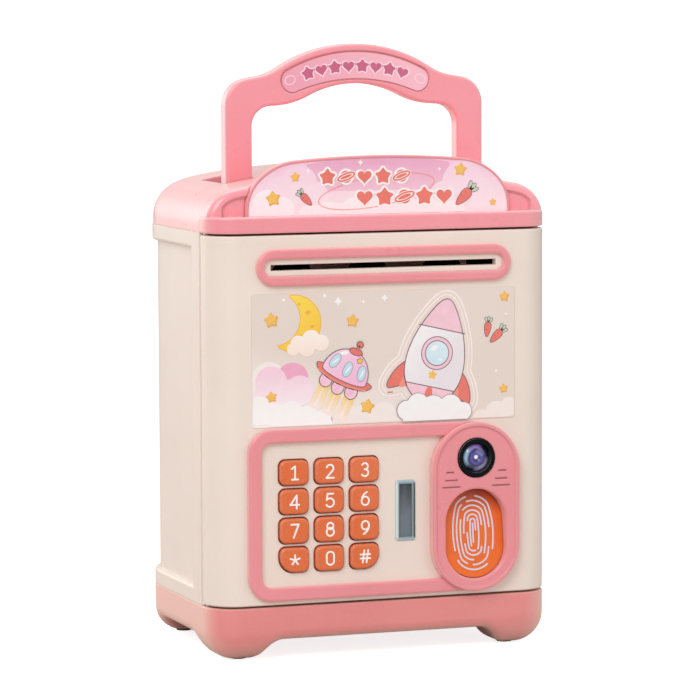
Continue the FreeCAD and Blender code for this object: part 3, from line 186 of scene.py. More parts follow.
def moulded(name, colour, roughness=0.36, edge=0.5 * MM, wear_and_highlight=0.3, glow=0.08, coat=0.12, painted_sheen=None,
            rim=0.0):
    """Injection-moulded ABS: cloudy pigment, fine matt grain, pale edges that are partly soft wear and partly
    painted highlight, slight depth.

    edge, wear_and_highlight: width of the pale edges, and how pale the wear and the painted highlight make
    them.
    glow, coat: share of light that enters the plastic, and of clear gloss on top.
    painted_sheen: the paler colour painted on where the surface is seen at a grazing angle, a painted sheen
    in place of reflected light.
    rim: how strongly the edges are painted with light and shade as if lit from the upper left: painted shade
    on the lower right edges, a painted highlight on the upper left ones.
    """
    finish = Finish(name, colour, roughness)
    cloud = finish.noise(28.0, 3.0)
    speck = finish.noise(2600.0, 1.0)
    body = finish.mix(finish.ramp(cloud, 0.3, 0.7), darker(colour, 0.035), lighter(colour, 0.03))
    body = finish.mix(finish.ramp(speck, 0.35, 0.75, 0.0, 0.12), body, lighter(colour, 0.4))
    if painted_sheen:
        # painted sheen: the colour turns paler towards grazing angles, as reflected light would make it
        facing = finish.node("LayerWeight", {"Blend": 0.5}).outputs["Facing"]
        body = finish.mix(finish.ramp(facing, 0.12, 0.85), body, painted_sheen)
    edges, rounded = finish.edge_mask(edge)
    # painted edge light and shade: edges that face the upper left lighter, the others darker
    if rim:
        lit = finish.facing(rounded, (-0.45, -0.1, 0.9))
        shade = finish.mix(finish.ramp(lit, -0.5, 0.6), darker(colour, rim), lighter(colour, rim * 0.6))
        body = finish.mix(edges, body, shade)
    # pale edges: partly rubbed wear, partly a painted highlight along every edge
    worn_and_lit = finish.math("MULTIPLY", edges, finish.ramp(finish.noise(160.0, 4.0), 0.25, 0.7, 0.2, wear_and_highlight))
    finish.set("Base Color", finish.mix(worn_and_lit, body, lighter(colour, 0.55)))
    smear = finish.ramp(finish.noise(70.0, 4.0), 0.3, 0.7, roughness - 0.05, roughness + 0.07)
    finish.set("Roughness", finish.math("SUBTRACT", smear, finish.math("MULTIPLY", worn_and_lit, 0.25)))
    swell = finish.math("MULTIPLY", finish.noise(190.0, 2.0), 0.5)
    finish.bump(finish.math("ADD", finish.noise(1500.0, 3.0), swell), 0.012 * MM, 0.8, rounded)
    finish.set("Subsurface Weight", glow)
    finish.set("Subsurface Radius", (1.0, 0.45, 0.35))
    finish.set("Subsurface Scale", 1.5 * MM)
    finish.coat(coat, 0.22)
    return finish.material


def ink(name, colour, roughness=0.3, tone=0.06):
    """Printed ink under a clear film: faint dot texture, slight unevenness, glossy coat."""
    finish = Finish(name, colour, roughness)
    dots = finish.node("TexVoronoi", {"Vector": finish.place, "Scale": 2200.0}, feature="F1")
    screen = finish.ramp(dots.outputs["Distance"], 0.15, 0.6, 0.0, tone)
    body = finish.mix(finish.ramp(finish.noise(240.0, 3.0), 0.35, 0.65), darker(colour, tone), colour)
    finish.set("Base Color", finish.mix(screen, body, lighter(colour, 0.5)))
    finish.set("Roughness", finish.ramp(finish.noise(90.0), 0.3, 0.7, roughness - 0.04, roughness + 0.06))
    finish.bump(finish.noise(900.0), 0.004 * MM, 0.5)
    finish.coat(0.35, 0.12)
    return finish.material


def shaded_ink(name, low, high, direction, start, end):
    """Ink that fades from one colour to another along a direction."""
    finish = Finish(name, low, 0.3)
    share = finish.along(direction, start, end)
    mottled = finish.math("ADD", share, finish.ramp(finish.noise(300.0, 3.0), 0.3, 0.7, -0.06, 0.06), True)
    finish.set("Base Color", finish.mix(mottled, low, high))
    finish.coat(0.35, 0.12)
    finish.bump(finish.noise(900.0), 0.004 * MM, 0.5)
    return finish.material


def metal(name, colour, roughness, stretch):
    """Drawn or turned metal: fine lines along one axis and uneven polish."""
    finish = Finish(name, colour, roughness, 1.0)
    scaled = finish.node("Mapping", {"Vector": finish.place, "Scale": stretch}).outputs["Vector"]
    lines = finish.noise(900.0, 4.0, scaled)
    finish.set("Roughness", finish.ramp(lines, 0.2, 0.8, roughness - 0.08, roughness + 0.14))
    finish.set("Base Color", finish.mix(finish.noise(80.0, 4.0), darker(colour, 0.15), lighter(colour, 0.1)))
    finish.bump(lines, 0.01 * MM, 0.5, finish.edge_mask(0.15 * MM)[1])
    return finish.material


def rubber(name, colour, roughness):
    """Matt rubber with a film of dust."""
    finish = Finish(name, colour, roughness)
    dust = finish.ramp(finish.noise(140.0, 5.0), 0.45, 0.8, 0.0, 0.35)
    finish.set("Base Color", finish.mix(dust, colour, lighter(colour, 0.25)))
    finish.set("Roughness", finish.ramp(finish.noise(60.0), 0.3, 0.7, roughness - 0.1, roughness + 0.1))
    finish.bump(finish.noise(1300.0, 4.0), 0.03 * MM, 0.6, finish.edge_mask(0.3 * MM)[1])
    return finish.material


def board(name):
    """Circuit board: green mask over square traces with solder dots."""
    green = srgb(28, 104, 62)
    finish = Finish(name, green, 0.35)
    bricks = finish.node("TexBrick", {"Scale": 160.0, "Color1": green, "Color2": srgb(36, 122, 74),
                                      "Mortar": srgb(70, 150, 92), "Mortar Size": 0.03})
    turned = finish.node("Mapping", {"Vector": finish.place, "Rotation": (math.pi / 2, 0, 0)})
    finish.feed(bricks.inputs["Vector"], turned.outputs["Vector"])
    dots = finish.node("TexVoronoi", {"Vector": finish.place, "Scale": 260.0, "Randomness": 0.4})
    pads = finish.ramp(dots.outputs["Distance"], 0.22, 0.18)
    finish.set("Base Color", finish.mix(pads, bricks.outputs["Color"], srgb(200, 196, 186)))
    finish.set("Metallic", finish.math("MULTIPLY", pads, 0.8))
    finish.bump(bricks.outputs["Fac"], 0.03 * MM)
    finish.set("Coat Weight", 0.4)
    return finish.material


def film_finish():
    """The picture film: warm grey-cream with a milky haze rising from its left and bottom edges."""
    low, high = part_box("picture_film")
    ground = srgb(232, 217, 206)
    finish = Finish("picture_film_print", ground, 0.26)
    haze = finish.math("SUBTRACT", 1.0, finish.along((0.26, 0, 1), low.z - 6 * MM, low.z + 17 * MM), True)
    drift = finish.ramp(finish.noise(42.0, 2.0), 0.35, 0.65, 0.55, 1.0)
    haze = finish.math("MULTIPLY", haze, drift, True)
    tint = finish.mix(finish.noise(36.0, 2.0), srgb(230, 215, 204), srgb(236, 222, 212))
    finish.set("Base Color", finish.mix(haze, tint, srgb(254, 250, 247)))
    finish.coat(0.5, 0.08)
    finish.bump(finish.noise(130.0), 0.01 * MM, 0.4, finish.edge_mask(0.2 * MM)[1])
    return finish.material


def lens_finish():
    """Coated glass with its reflections painted on: a painted white highlight at the core, painted violet and
    navy reflection rings, and a painted reflection round the rim that turns from sky blue to lavender.
    """
    low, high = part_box("lens_glass")
    centre = (low + high) / 2
    reach = (high.x - low.x) / 2
    finish = Finish("lens_painted_reflections", srgb(40, 26, 80), 0.08)

    def offset_from(x, z):
        """How far each point lies from one of the lens face, as a flat vector and as a length."""
        spot = (centre.x + x * MM, centre.y, centre.z + z * MM)
        flat = finish.vector("MULTIPLY", finish.vector("SUBTRACT", finish.place, spot), (1, 0, 1))
        return flat, finish.vector("LENGTH", flat, output="Value")

    flat, distance = offset_from(0, 0)
    wobble = finish.ramp(finish.noise(420.0, 2.0), 0.3, 0.7, -0.15 * MM, 0.15 * MM)
    radius = finish.ramp(finish.math("ADD", distance, wobble), 0.0, reach)
    # rings of painted reflection in the coating
    body = finish.bands(radius, (
        (0.0, srgb(24, 20, 60)), (0.22, srgb(26, 28, 84)), (0.34, srgb(70, 66, 160)),
        (0.46, srgb(84, 74, 170)), (0.56, srgb(34, 26, 78)), (0.66, srgb(48, 40, 104)),
        (0.94, srgb(22, 34, 46)), (1.0, srgb(8, 12, 16))))
    outer = finish.math("MULTIPLY", finish.ramp(radius, 0.62, 0.76), finish.ramp(radius, 1.02, 0.94), True)
    way = finish.vector("NORMALIZE", flat)
    # painted reflections of the lamps round the rim: light blue at the left, violet at the top, lavender at
    # the lower right
    painted_crescents = (           # the way it lies from the centre, where it fades out, colour
        ((-0.97, 0, 0.26), 0.45, srgb(158, 198, 224)),
        ((-0.2, 0, 0.98), 0.7, srgb(148, 118, 200)),
        ((0.62, 0, -0.78), 0.55, srgb(168, 164, 214)),
    )
    for direction, fade, colour in painted_crescents:
        share = finish.math("MULTIPLY", finish.ramp(finish.dot(way, direction), fade, 1.0), outer)
        body = finish.mix(share, body, colour)
    # painted highlights: a white glint near the core and a faint lavender one at the lower right
    glints = ((-0.45, 0.35, 0.95, srgb(244, 246, 255)), (0.75, -0.85, 0.7, srgb(130, 128, 190)))
    for x, z, size, colour in glints:
        apart = offset_from(x, z)[1]
        body = finish.mix(finish.ramp(apart, size * MM, size * 0.55 * MM), body, colour)
    finish.set("Base Color", body)
    finish.coat(1.0, 0.02)
    return finish.material


def inner_cover_finish():
    """Cream where it shows behind the open door; painted black shade on the face that looks at the note slot.
    """
    cream = darker(CREAM, 0.06)
    finish = Finish("cream_inner_abs", cream, 0.45)
    inward = finish.facing(finish.edge_mask(0.4 * MM)[1], (0, -1, 0))
    tyre_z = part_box("feed_tyres")[0].z
    near_slot = finish.along((0, 0, 1), tyre_z - 8 * MM, tyre_z - 4 * MM)
    # painted shade: faces near the slot that look forward are painted black, like the shade inside the slot
    painted_slot_shade = finish.math("MULTIPLY", finish.ramp(inward, 0.2, 0.6), near_slot)
    finish.set("Base Color", finish.mix(painted_slot_shade, cream, srgb(10, 9, 9)))
    return finish.material


def slot_shade_black(name):
    """Near-black with almost no reflection, darker than the parts' own colour: painted shade for what lies
    behind the note slot.
    """
    finish = Finish(name, srgb(5, 5, 6), 0.8)
    finish.bump(finish.noise(900.0, 3.0), 0.02 * MM, 0.5)
    finish.set("Specular IOR Level", 0.1)
    return finish.material


def lens_seat_finish():
    """Black plastic with painted silvery highlights on the edges that face the upper left."""
    finish = Finish("lens_ring_abs", srgb(6, 8, 10), 0.4)
    edges, rounded = finish.edge_mask(0.35 * MM)
    lit = finish.facing(rounded, (-0.7, -0.2, 0.7))
    # painted highlight: edges turned to the upper left get a silvery glint
    glint = finish.math("MULTIPLY", edges, finish.ramp(lit, 0.3, 0.9))
    finish.set("Base Color", finish.mix(glint, srgb(6, 8, 10), srgb(150, 160, 166)))
    finish.set("Specular IOR Level", 0.12)
    return finish.material


def pad_finish():
    """Orange with painted shade that darkens it towards the deep upper end of the pad."""
    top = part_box("fingerprint_pad")[1].z
    finish = Finish("orange_pad_abs", ORANGE, 0.38)
    # painted shade of the recess, darkest at the pad's deep upper end
    depth = finish.along((0, 0, 1), top - 10 * MM, top)
    mottle = finish.ramp(finish.noise(260.0), 0.3, 0.7, -0.1, 0.1)
    level = finish.math("ADD", depth, mottle, True)
    finish.set("Base Color", finish.mix(level, srgb(238, 108, 22), srgb(160, 48, 24)))
    finish.bump(finish.noise(900.0), 0.01 * MM, 0.4)
    return finish.material


def window_rim_finish():
    """Clear bevelled edge of the window with painted light: painted highlights on its left, top and bottom,
    and painted shade that turns its right deep green.
    """
    low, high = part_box("window_bezel")
    finish = Finish("window_edge_painted_light", srgb(150, 175, 180), 0.12)
    # painted highlight down the left side, painted shade down the right
    sides = finish.bands(finish.along((1, 0, 0), low.x, high.x), (
        (0.0, srgb(196, 220, 218)), (0.07, srgb(222, 240, 238)), (0.17, srgb(104, 128, 132)),
        (0.8, srgb(112, 134, 140)), (0.87, srgb(132, 152, 160)), (0.93, srgb(44, 76, 74)),
        (1.0, srgb(30, 54, 54))))
    # painted highlights along the top and bottom ends
    middle = (low.z + high.z) / 2
    above = finish.along((0, 0, 1), middle, high.z)
    below = finish.along((0, 0, -1), -middle, -low.z)
    ends = finish.ramp(finish.math("MAXIMUM", above, below), 0.87, 0.95)
    finish.set("Base Color", finish.mix(finish.math("MULTIPLY", ends, 0.8), sides, srgb(172, 198, 208)))
    finish.bump(finish.noise(500.0), 0.01 * MM, 0.4, finish.edge_mask(0.5 * MM)[1])
    finish.coat(1.0, 0.05)
    return finish.material


def window_finish():
    """Smoked window: dark at the top, greyer lower down, with faint upright streaks."""
    low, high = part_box("window_lens")
    finish = Finish("smoked_window", srgb(96, 106, 112), 0.1)
    streaky = finish.node("Mapping", {"Vector": finish.place, "Scale": (1.0, 1.0, 0.16)}).outputs["Vector"]
    streaks = finish.ramp(finish.noise(620.0, 3.0, streaky), 0.3, 0.7, -0.2, 0.2)
    level = finish.math("ADD", finish.along((0, 0, -1), -high.z, -low.z - 7 * MM), streaks, True)
    finish.set("Base Color", finish.mix(level, srgb(46, 54, 58), srgb(104, 116, 124)))
    finish.bump(finish.noise(300.0), 0.006 * MM, 0.4)
    finish.coat(0.6, 0.04)
    return finish.material


MATERIALS = {
    "cream_shell": moulded("cream_abs", CREAM),
    "cream_inner": inner_cover_finish(),
    # pink parts get a painted sheen, paler where they are seen at a grazing angle
    "pink_shell": moulded("pink_shell_abs", PINK_SHELL, 0.3, 0.9 * MM, coat=0.4, painted_sheen=srgb(255, 200, 196)),
    "pink_base": moulded("pink_base_abs", PINK_BASE, edge=0.6 * MM, wear_and_highlight=0.25, coat=0.15,
                         painted_sheen=srgb(248, 206, 190)),
    "pink_trim": moulded("pink_trim_abs", PINK_TRIM, 0.32, 0.6 * MM, 0.35, coat=0.2,
                         painted_sheen=srgb(250, 190, 186)),
    # keys: painted highlight on the upper left edges, painted shade on the lower right ones
    "orange_key": moulded("orange_key_abs", ORANGE, 0.26, 1.2 * MM, 0.1, 0.0, 0.3, rim=0.55),
    "pad": pad_finish(),
    "lens_seat": lens_seat_finish(),
    "black_plastic": moulded("black_abs", srgb(26, 26, 30), 0.28, 0.3 * MM, 0.25, 0.0, 0.3),
    "grey_plastic": moulded("grey_abs", srgb(92, 94, 98), 0.42, 0.4 * MM, 0.3, 0.0),
    "white_plastic": moulded("white_abs", srgb(240, 240, 236), 0.35),
    "clear_film": film_finish(),
    "sign": shaded_ink("sign_ground", srgb(253, 236, 240), srgb(250, 200, 220), (0, 0, 1), 0.164, 0.186),
    "plaque": shaded_ink("plaque_ground", srgb(240, 166, 184), srgb(250, 192, 204), (1, 0, 0.4), 0.06, 0.11),
    "lens": lens_finish(),
    "window": window_finish(),
    "window_chrome": window_rim_finish(),
    "rubber": rubber("black_rubber", srgb(40, 38, 40), 0.7),
    # rollers and bracket behind the note slot are painted as black as the shade there
    "black_rubber": slot_shade_black("roller_rubber"),
    "black_bracket": slot_shade_black("bracket_abs"),
    "dark_steel": metal("blackened_steel", srgb(24, 24, 26), 0.6, (1.0, 8.0, 1.0)),
    "silicone": rubber("keypad_silicone", srgb(214, 210, 204), 0.5),
    "steel": metal("zinc_steel", srgb(196, 198, 202), 0.3, (1.0, 8.0, 1.0)),
    "brass": metal("cut_brass", srgb(214, 172, 92), 0.3, (8.0, 1.0, 1.0)),
    "copper_coil": metal("copper_winding", srgb(196, 112, 66), 0.35, (40.0, 1.0, 1.0)),
    "circuit_board": board("circuit_board"),
    "cell": moulded("cell_sleeve", srgb(52, 112, 96), 0.22, 0.3 * MM, 0.2, 0.0, 0.8),
    "led": moulded("status_led", srgb(244, 120, 90), 0.12, 0.2 * MM, 0.1, 0.1, 1.0),
}
NODE_FINISH = {
    "base": "pink_base", "sign_face": "sign", "handle_plaque": "plaque", "fingerprint_pad": "pad",
    "lens_ring": "lens_seat", "lens_glass": "lens", "door_inner_cover": "cream_inner",
    "feed_tyres": "black_rubber", "pinch_roller": "black_rubber", "feed_shaft": "dark_steel",
    "feeder_bracket": "black_bracket",
}


def finish_cad_nodes():
    """Gives every CAD node the finish of its own name, or else that of its material slot."""
    slot_of = {part["node"]: part["material_slot"] for part in frame["record"]["subparts"]}
    for name, piece in frame["nodes"].items():
        kind = NODE_FINISH.get(name, slot_of[name])
        if not piece.material_slots:
            piece.data.materials.append(None)
        for holder in piece.material_slots:
            holder.material = MATERIALS[kind]


def coil_that_shortens():
    """A copy of the latch spring with a mesh of its own, carried with the door in place of the spring itself.
    """
    held = frame["nodes"]["latch_spring"]
    coil = bpy.data.objects.new("latch_coil", held.data.copy())
    bpy.context.scene.collection.objects.link(coil)
    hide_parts("latch_spring")
    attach(coil, "door")
    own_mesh(coil)


# ---------------------------------------------------------------- flat outlines
def arc(x, y, radius, start, end, count=24):
    """Points on a circle from one angle to another, in degrees."""
    points = []
    for step in range(count + 1):
        angle = math.radians(start + (end - start) * step / count)
        points.append((x + radius * math.cos(angle), y + radius * math.sin(angle)))
    return points


def unit_circle(count):
    return arc(0, 0, 1, 0, 360, count)[:-1]


def ellipse(x, y, half_w, half_h, turn=0.0, count=48):
    return placed([(half_w * px, half_h * py) for px, py in unit_circle(count)], x, y, turn)


def placed(points, x, y, turn=0.0, scale=1.0):
    """Points turned by degrees and scaled about the origin, then moved."""
    cos, sin = math.cos(math.radians(turn)) * scale, math.sin(math.radians(turn)) * scale
    return [(x + px * cos - py * sin, y + px * sin + py * cos) for px, py in points]


def softened(points, rounds=2, keep=0.28):
    """Closed outline with its corners cut, again and again, until they look round."""
    for _ in range(rounds):
        cut = []
        for (ax, ay), (bx, by) in zip(points, points[1:] + points[:1]):
            cut.append((ax + (bx - ax) * keep, ay + (by - ay) * keep))
            cut.append((bx + (ax - bx) * keep, by + (ay - by) * keep))
        points = cut
    return points


def grown(points, distance):
    """Closed counter-clockwise outline moved outwards."""
    made = []
    for before, here, after in zip(points[-1:] + points[:-1], points, points[1:] + points[:1]):
        back = Vector(here) - Vector(before)
        ahead = Vector(after) - Vector(here)
        run = back.normalized() + ahead.normalized()
        outward = Vector((run.y, -run.x)).normalized()
        made.append((here[0] + outward.x * distance, here[1] + outward.y * distance))
    return made


def star(x, y, radius, turn=0.0):
    """Plump five-pointed star with rounded tips."""
    points = []
    for step in range(10):
        reach = radius * 1.08 if step % 2 == 0 else radius * 0.6
        angle = math.radians(90 + turn + 36 * step)
        points.append((x + reach * math.cos(angle), y + reach * math.sin(angle)))
    return softened(points, 3, 0.22)


def sparkle(x, y, radius):
    """Four-pointed glint with hollow sides."""
    points = []
    for step in range(32):
        angle = math.tau * step / 32
        cos, sin = math.cos(angle), math.sin(angle)
        points.append((x + radius * abs(cos) ** 3 * (1 if cos > 0 else -1),
                       y + radius * abs(sin) ** 3 * (1 if sin > 0 else -1)))
    return points


def heart(x, y, size, turn=0.0):
    points = []
    for step in range(40):
        t = math.tau * (step + 0.5) / 40
        px = 16 * math.sin(t) ** 3
        py = 13 * math.cos(t) - 5 * math.cos(2 * t) - 2 * math.cos(3 * t) - math.cos(4 * t)
        points.append((px / 17 * size, py / 17 * size))
    return placed(points[::-1], x, y, turn)


def crescent(outer, inner):
    """Moon between two arcs, each (x, y, radius, angle at the upper tip, angle at the lower tip)."""
    x, y, radius, high, low = outer
    inner_x, inner_y, inner_radius, inner_high, inner_low = inner
    hollow = arc(inner_x, inner_y, inner_radius, inner_high, inner_low, 30)[1:-1]
    return arc(x, y, radius, low, high, 40) + hollow


def union(circles, centre, frame_box=None, count=160):
    """Outline round circles (x, y, radius), seen from a centre that lies in one of them."""
    points = []
    for step in range(count):
        angle = math.tau * step / count
        dx, dy = math.cos(angle), math.sin(angle)
        reach = 0.0
        for x, y, radius in circles:
            along = (x - centre[0]) * dx + (y - centre[1]) * dy
            aside = (x - centre[0]) * dy - (y - centre[1]) * dx
            if abs(aside) < radius:
                reach = max(reach, along + math.sqrt(radius ** 2 - aside ** 2))
        points.append((centre[0] + dx * reach, centre[1] + dy * reach))
    return clipped(points, frame_box) if frame_box else points


def clipped(points, frame_box):
    """Outline cut to a box (x0, x1, y0, y1), one side after another."""
    x0, x1, y0, y1 = frame_box
    sides = ((1, 0, x0), (-1, 0, -x1), (0, 1, y0), (0, -1, -y1))
    for nx, ny, limit in sides:
        kept = []
        for here, after in zip(points, points[1:] + points[:1]):
            a = here[0] * nx + here[1] * ny - limit
            b = after[0] * nx + after[1] * ny - limit
            if a >= 0:
                kept.append(here)
            if a * b < 0:
                share = a / (a - b)
                kept.append(tuple(h + (t - h) * share for h, t in zip(here, after)))
        points = kept
    return points


def ribbon(points, width, closed=False):
    """A stroke along points, as one outline with round ends, or as an outer and an inner loop."""
    half = width / 2
    if closed:
        return grown(points, half), grown(points, -half)
    left, right = [], []
    for index, here in enumerate(points):
        before = points[max(index - 1, 0)]
        after = points[min(index + 1, len(points) - 1)]
        run = (Vector(after) - Vector(before)).normalized()
        left.append((here[0] - run.y * half, here[1] + run.x * half))
        right.append((here[0] + run.y * half, here[1] - run.x * half))
    first = Vector(points[0]) - Vector(points[1])
    last = Vector(points[-1]) - Vector(points[-2])
    tail = math.degrees(math.atan2(first.y, first.x))
    head = math.degrees(math.atan2(last.y, last.x))
    start_cap = arc(points[0][0], points[0][1], half, tail - 90, tail + 90, 6)[1:-1]
    end_cap = arc(points[-1][0], points[-1][1], half, head - 90, head + 90, 6)[1:-1]
    return right + end_cap + left[::-1] + start_cap


# ---------------------------------------------------------------- raised print
LAYER = 0.03                # step between one printed colour and the next
SUNK = 0.02                 # how far a print reaches into what it is printed on


class Print:
    """A set of thin closed prisms printed on a face that looks towards -Y, as one piece."""

    def __init__(self, name, body, face_y, x=0.0, z=0.0):
        self.name, self.body = name, body
        self.face_y, self.x, self.z = face_y, x, z
        self.mesh = bmesh.new()
        self.finishes = []

    def point(self, place, y):
        return Vector((self.x + place[0], y, self.z + place[1])) * MM

    def add(self, outline, finish, level, hole=None):
        """One prism over an outline, or over the band between it and a hole with as many points."""
        if finish not in self.finishes:
            self.finishes.append(finish)
        index = self.finishes.index(finish)
        near, far = self.face_y - LAYER * level, self.face_y + SUNK
        loops = []
        for y in (near, far):
            for line in [outline] + ([hole] if hole else []):
                loops.append([self.mesh.verts.new(self.point(p, y)) for p in line])
        faces = []
        if hole:
            front, front_hole, back, back_hole = loops
            faces += self.band(front, front_hole) + self.band(front_hole, back_hole)
            faces += self.band(back_hole, back) + self.band(back, front)
        else:
            front, back = loops
            faces += [self.mesh.faces.new(front), self.mesh.faces.new(back[::-1])] + self.band(back, front)
        for face in faces:
            face.material_index = index

    def band(self, first, second):
        """Faces between two loops of corners."""
        faces = []
        for i in range(len(first)):
            j = (i + 1) % len(first)
            faces.append(self.mesh.faces.new((first[i], first[j], second[j], second[i])))
        return faces

    def outlined(self, outline, finish, level, line="line", width=0.32):
        """A prism with a thin darker line round it."""
        self.add(grown(outline, width), line, level)
        self.add(outline, finish, level + 1)

    def star(self, x, y, radius, turn, level):
        """A yellow star with a darker edge at its lower right."""
        self.add(star(x, y, radius, turn), "star_shade", level)
        self.add(star(x - 0.07 * radius, y + 0.08 * radius, radius * 0.84, turn), "star", level + 1)

    def stroke(self, points, width, finish, level, closed=False):
        if closed:
            outer, inner = ribbon(points, width, True)
            self.add(outer, finish, level, inner)
        else:
            self.add(ribbon(points, width), finish, level)

    def done(self):
        bmesh.ops.recalc_face_normals(self.mesh, faces=self.mesh.faces)
        data = bpy.data.meshes.new(self.name)
        self.mesh.to_mesh(data)
        self.mesh.free()
        for finish in self.finishes:
            data.materials.append(INKS[finish])
        piece = bpy.data.objects.new(self.name, data)
        bpy.context.scene.collection.objects.link(piece)
        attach(piece, self.body)


FILM_LOW, FILM_HIGH = (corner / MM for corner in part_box("picture_film"))
FILM_X, FILM_Y, FILM_Z = (FILM_LOW.x + FILM_HIGH.x) / 2, FILM_LOW.y, (FILM_LOW.z + FILM_HIGH.z) / 2
FILM_HALF_W, FILM_HALF_H = (FILM_HIGH.x - FILM_LOW.x) / 2, (FILM_HIGH.z - FILM_LOW.z) / 2
FILM_BORDER = 0.2           # margin round the picture that stays clear of print
FILM_BOX = (-FILM_HALF_W + FILM_BORDER, FILM_HALF_W - FILM_BORDER,
            -FILM_HALF_H + FILM_BORDER, FILM_HALF_H - FILM_BORDER)
SAUCER = (-16.4, -7.0, -25.6)               # x and y on the film, and lean in degrees
ROCKET = (20.6, 0.2, -13.0)
BEAM_TOP = (-18.4, -10.5)                   # where the saucer's beams start to fade, on the film
BEAM_WAY = Vector((math.sin(math.radians(SAUCER[2])), 0, -math.cos(math.radians(SAUCER[2]))))
BEAM_START = BEAM_WAY.dot(Vector((BEAM_TOP[0], 0, FILM_Z + BEAM_TOP[1]))) * MM
UP = (0, 0, 1)
PLAIN_INKS = {              # colour, then roughness and tone where they aren't the usual ones
    "line": (INK,),
    "grey_line": (srgb(168, 150, 156),),
    "white": (WHITE, 0.3, 0.02),
    "far_cloud": (srgb(247, 238, 230), 0.3, 0.02),
    "mid_pink": (srgb(245, 172, 200),),
    "moon_edge": (srgb(244, 180, 56),),
    "star": (srgb(250, 196, 84),),
    "star_shade": (srgb(240, 168, 62),),
    "coral": (srgb(238, 116, 100),),
    "coral_light": (srgb(246, 150, 130),),
    "leaf": (srgb(196, 208, 186),),
    "blush": (srgb(250, 204, 216),),
    "halo": (srgb(238, 222, 213), 0.14, 0.02),
    # pale lines at the edges of the rocket's margin: partly its contour, partly painted highlight
    "halo_contour_and_highlight": (srgb(254, 244, 238), 0.12, 0.01),
    "sign_white": (srgb(254, 243, 245), 0.3, 0.02),
    "plaque_light": (srgb(254, 226, 236),),
    "plaque_deep": (srgb(204, 92, 130),),
    "ridge": (srgb(218, 214, 226), 0.32, 0.03),
    # dark rose painted shade for the sound slits
    "slit_shade": (srgb(176, 90, 98), 0.6, 0.02),
}
FADING_INKS = {             # first and last colour, direction of the fade, and where it starts and ends
    "cloud": (srgb(255, 252, 250), srgb(246, 238, 232), UP, (FILM_Z - 25) * MM, (FILM_Z - 4) * MM),
    "cream_cloud": (srgb(252, 232, 216), srgb(254, 243, 234), UP, (FILM_Z + 2) * MM, (FILM_Z + 10) * MM),
    "pale_pink": (srgb(254, 244, 246), srgb(248, 212, 226), UP, (FILM_Z - 20) * MM, (FILM_Z - 5) * MM),
    "moon": (srgb(254, 226, 84), srgb(250, 198, 60), (0.6, 0, -0.8), -0.131, -0.112),
    "saucer_dome": (srgb(246, 190, 218), srgb(252, 220, 234), (-0.45, 0, 0.9), 0.098, 0.124),
    "window": (srgb(190, 224, 238), srgb(232, 246, 250), (0.5, 0, 0.9), 0.09, 0.13),
    "rocket_white": (srgb(236, 228, 232), srgb(255, 253, 252), (-0.7, 0, 0.7), 0.058, 0.085),
    "beam": (srgb(250, 206, 96), srgb(253, 236, 230), BEAM_WAY, BEAM_START, BEAM_START + 11.0 * MM),
    "beam_pale": (srgb(252, 214, 150), srgb(254, 242, 236), BEAM_WAY, BEAM_START, BEAM_START + 9.0 * MM),
    "sign_band": (srgb(250, 208, 222), srgb(236, 168, 198), UP, 0.168, 0.187),
    "sign_cloud": (srgb(253, 234, 239), srgb(250, 212, 228), UP, 0.166, 0.184),
}
INKS = {name: ink(name + "_ink", *look) for name, look in PLAIN_INKS.items()}
INKS.update({name: shaded_ink(name + "_ink", *look) for name, look in FADING_INKS.items()})


def film_print(name):
    return Print(name, "door", FILM_Y, FILM_X, FILM_Z)


def print_clouds():
    """Banks of cloud along the bottom of the film, with two pink ones rising at the left."""
    art = film_print("film_clouds")
    far = ((-45.5, -7.0, 6.6), (-49.0, -13.0, 6.0), (-41.0, -9.5, 5.0))
    art.add(union(far, (-45.5, -8.0), FILM_BOX), "far_cloud", 1)
    art.add(ellipse(-36.3, -6.6, 6.2, 5.6), "mid_pink", 2)
    lobes = ((-44.6, -8.2, 6.2), (-33.6, -11.4, 5.6), (-39.4, -13.4, 6.4), (-47.0, -13.4, 4.6))
    art.add(union(lobes, (-40.5, -11.4), FILM_BOX), "pale_pink", 3)
    bank = ((-49.4, -18.4, 5.4), (-43.0, -20.2, 4.4), (-36.8, -19.8, 4.6), (-30.4, -21.4, 4.2),
            (-24.8, -23.0, 4.0), (-38.0, -25.0, 6.0))
    art.add(union(bank, (-38.0, -22.4), FILM_BOX), "cloud", 4)
    middle = ((-16.2, -21.6, 5.0), (-8.0, -22.2, 4.6), (-0.4, -21.8, 4.8), (7.2, -24.0, 3.8),
              (-6.0, -25.6, 6.0))
    art.add(union(middle, (-6.0, -23.4), FILM_BOX), "far_cloud", 4)
    right = ((44.6, -22.8, 4.4), (50.0, -20.6, 3.6), (38.6, -25.0, 3.6), (46.0, -26.6, 5.0))
    art.add(union(right, (45.4, -23.6), FILM_BOX), "far_cloud", 4)
    art.done()


def print_moon():
    """A pitted crescent moon that rests on a small cloud."""
    art = film_print("film_moon")
    moon = crescent((-35.6, 13.5, 10.4, 100.7, -128.3), (-43.0, 15.3, 10.0, 56.8, -84.2))
    art.add(grown(moon, 0.3), "moon_edge", 1)
    art.add(moon, "moon", 2)
    for x, y, size in ((-30.2, 17.4, 1.0), (-28.6, 12.2, 0.7), (-33.4, 8.6, 0.9), (-33.6, 20.6, 0.6)):
        art.add(ellipse(x, y, size, size * 0.8, 20, 20), "moon_edge", 3)
    puffs = ((-34.0, 6.0, 3.0), (-29.0, 7.4, 3.5), (-25.0, 6.0, 3.0), (-36.0, 4.0, 2.4), (-30.6, 4.0, 3.0))
    art.add(union(puffs, (-30.4, 5.4)), "cream_cloud", 4)
    art.done()


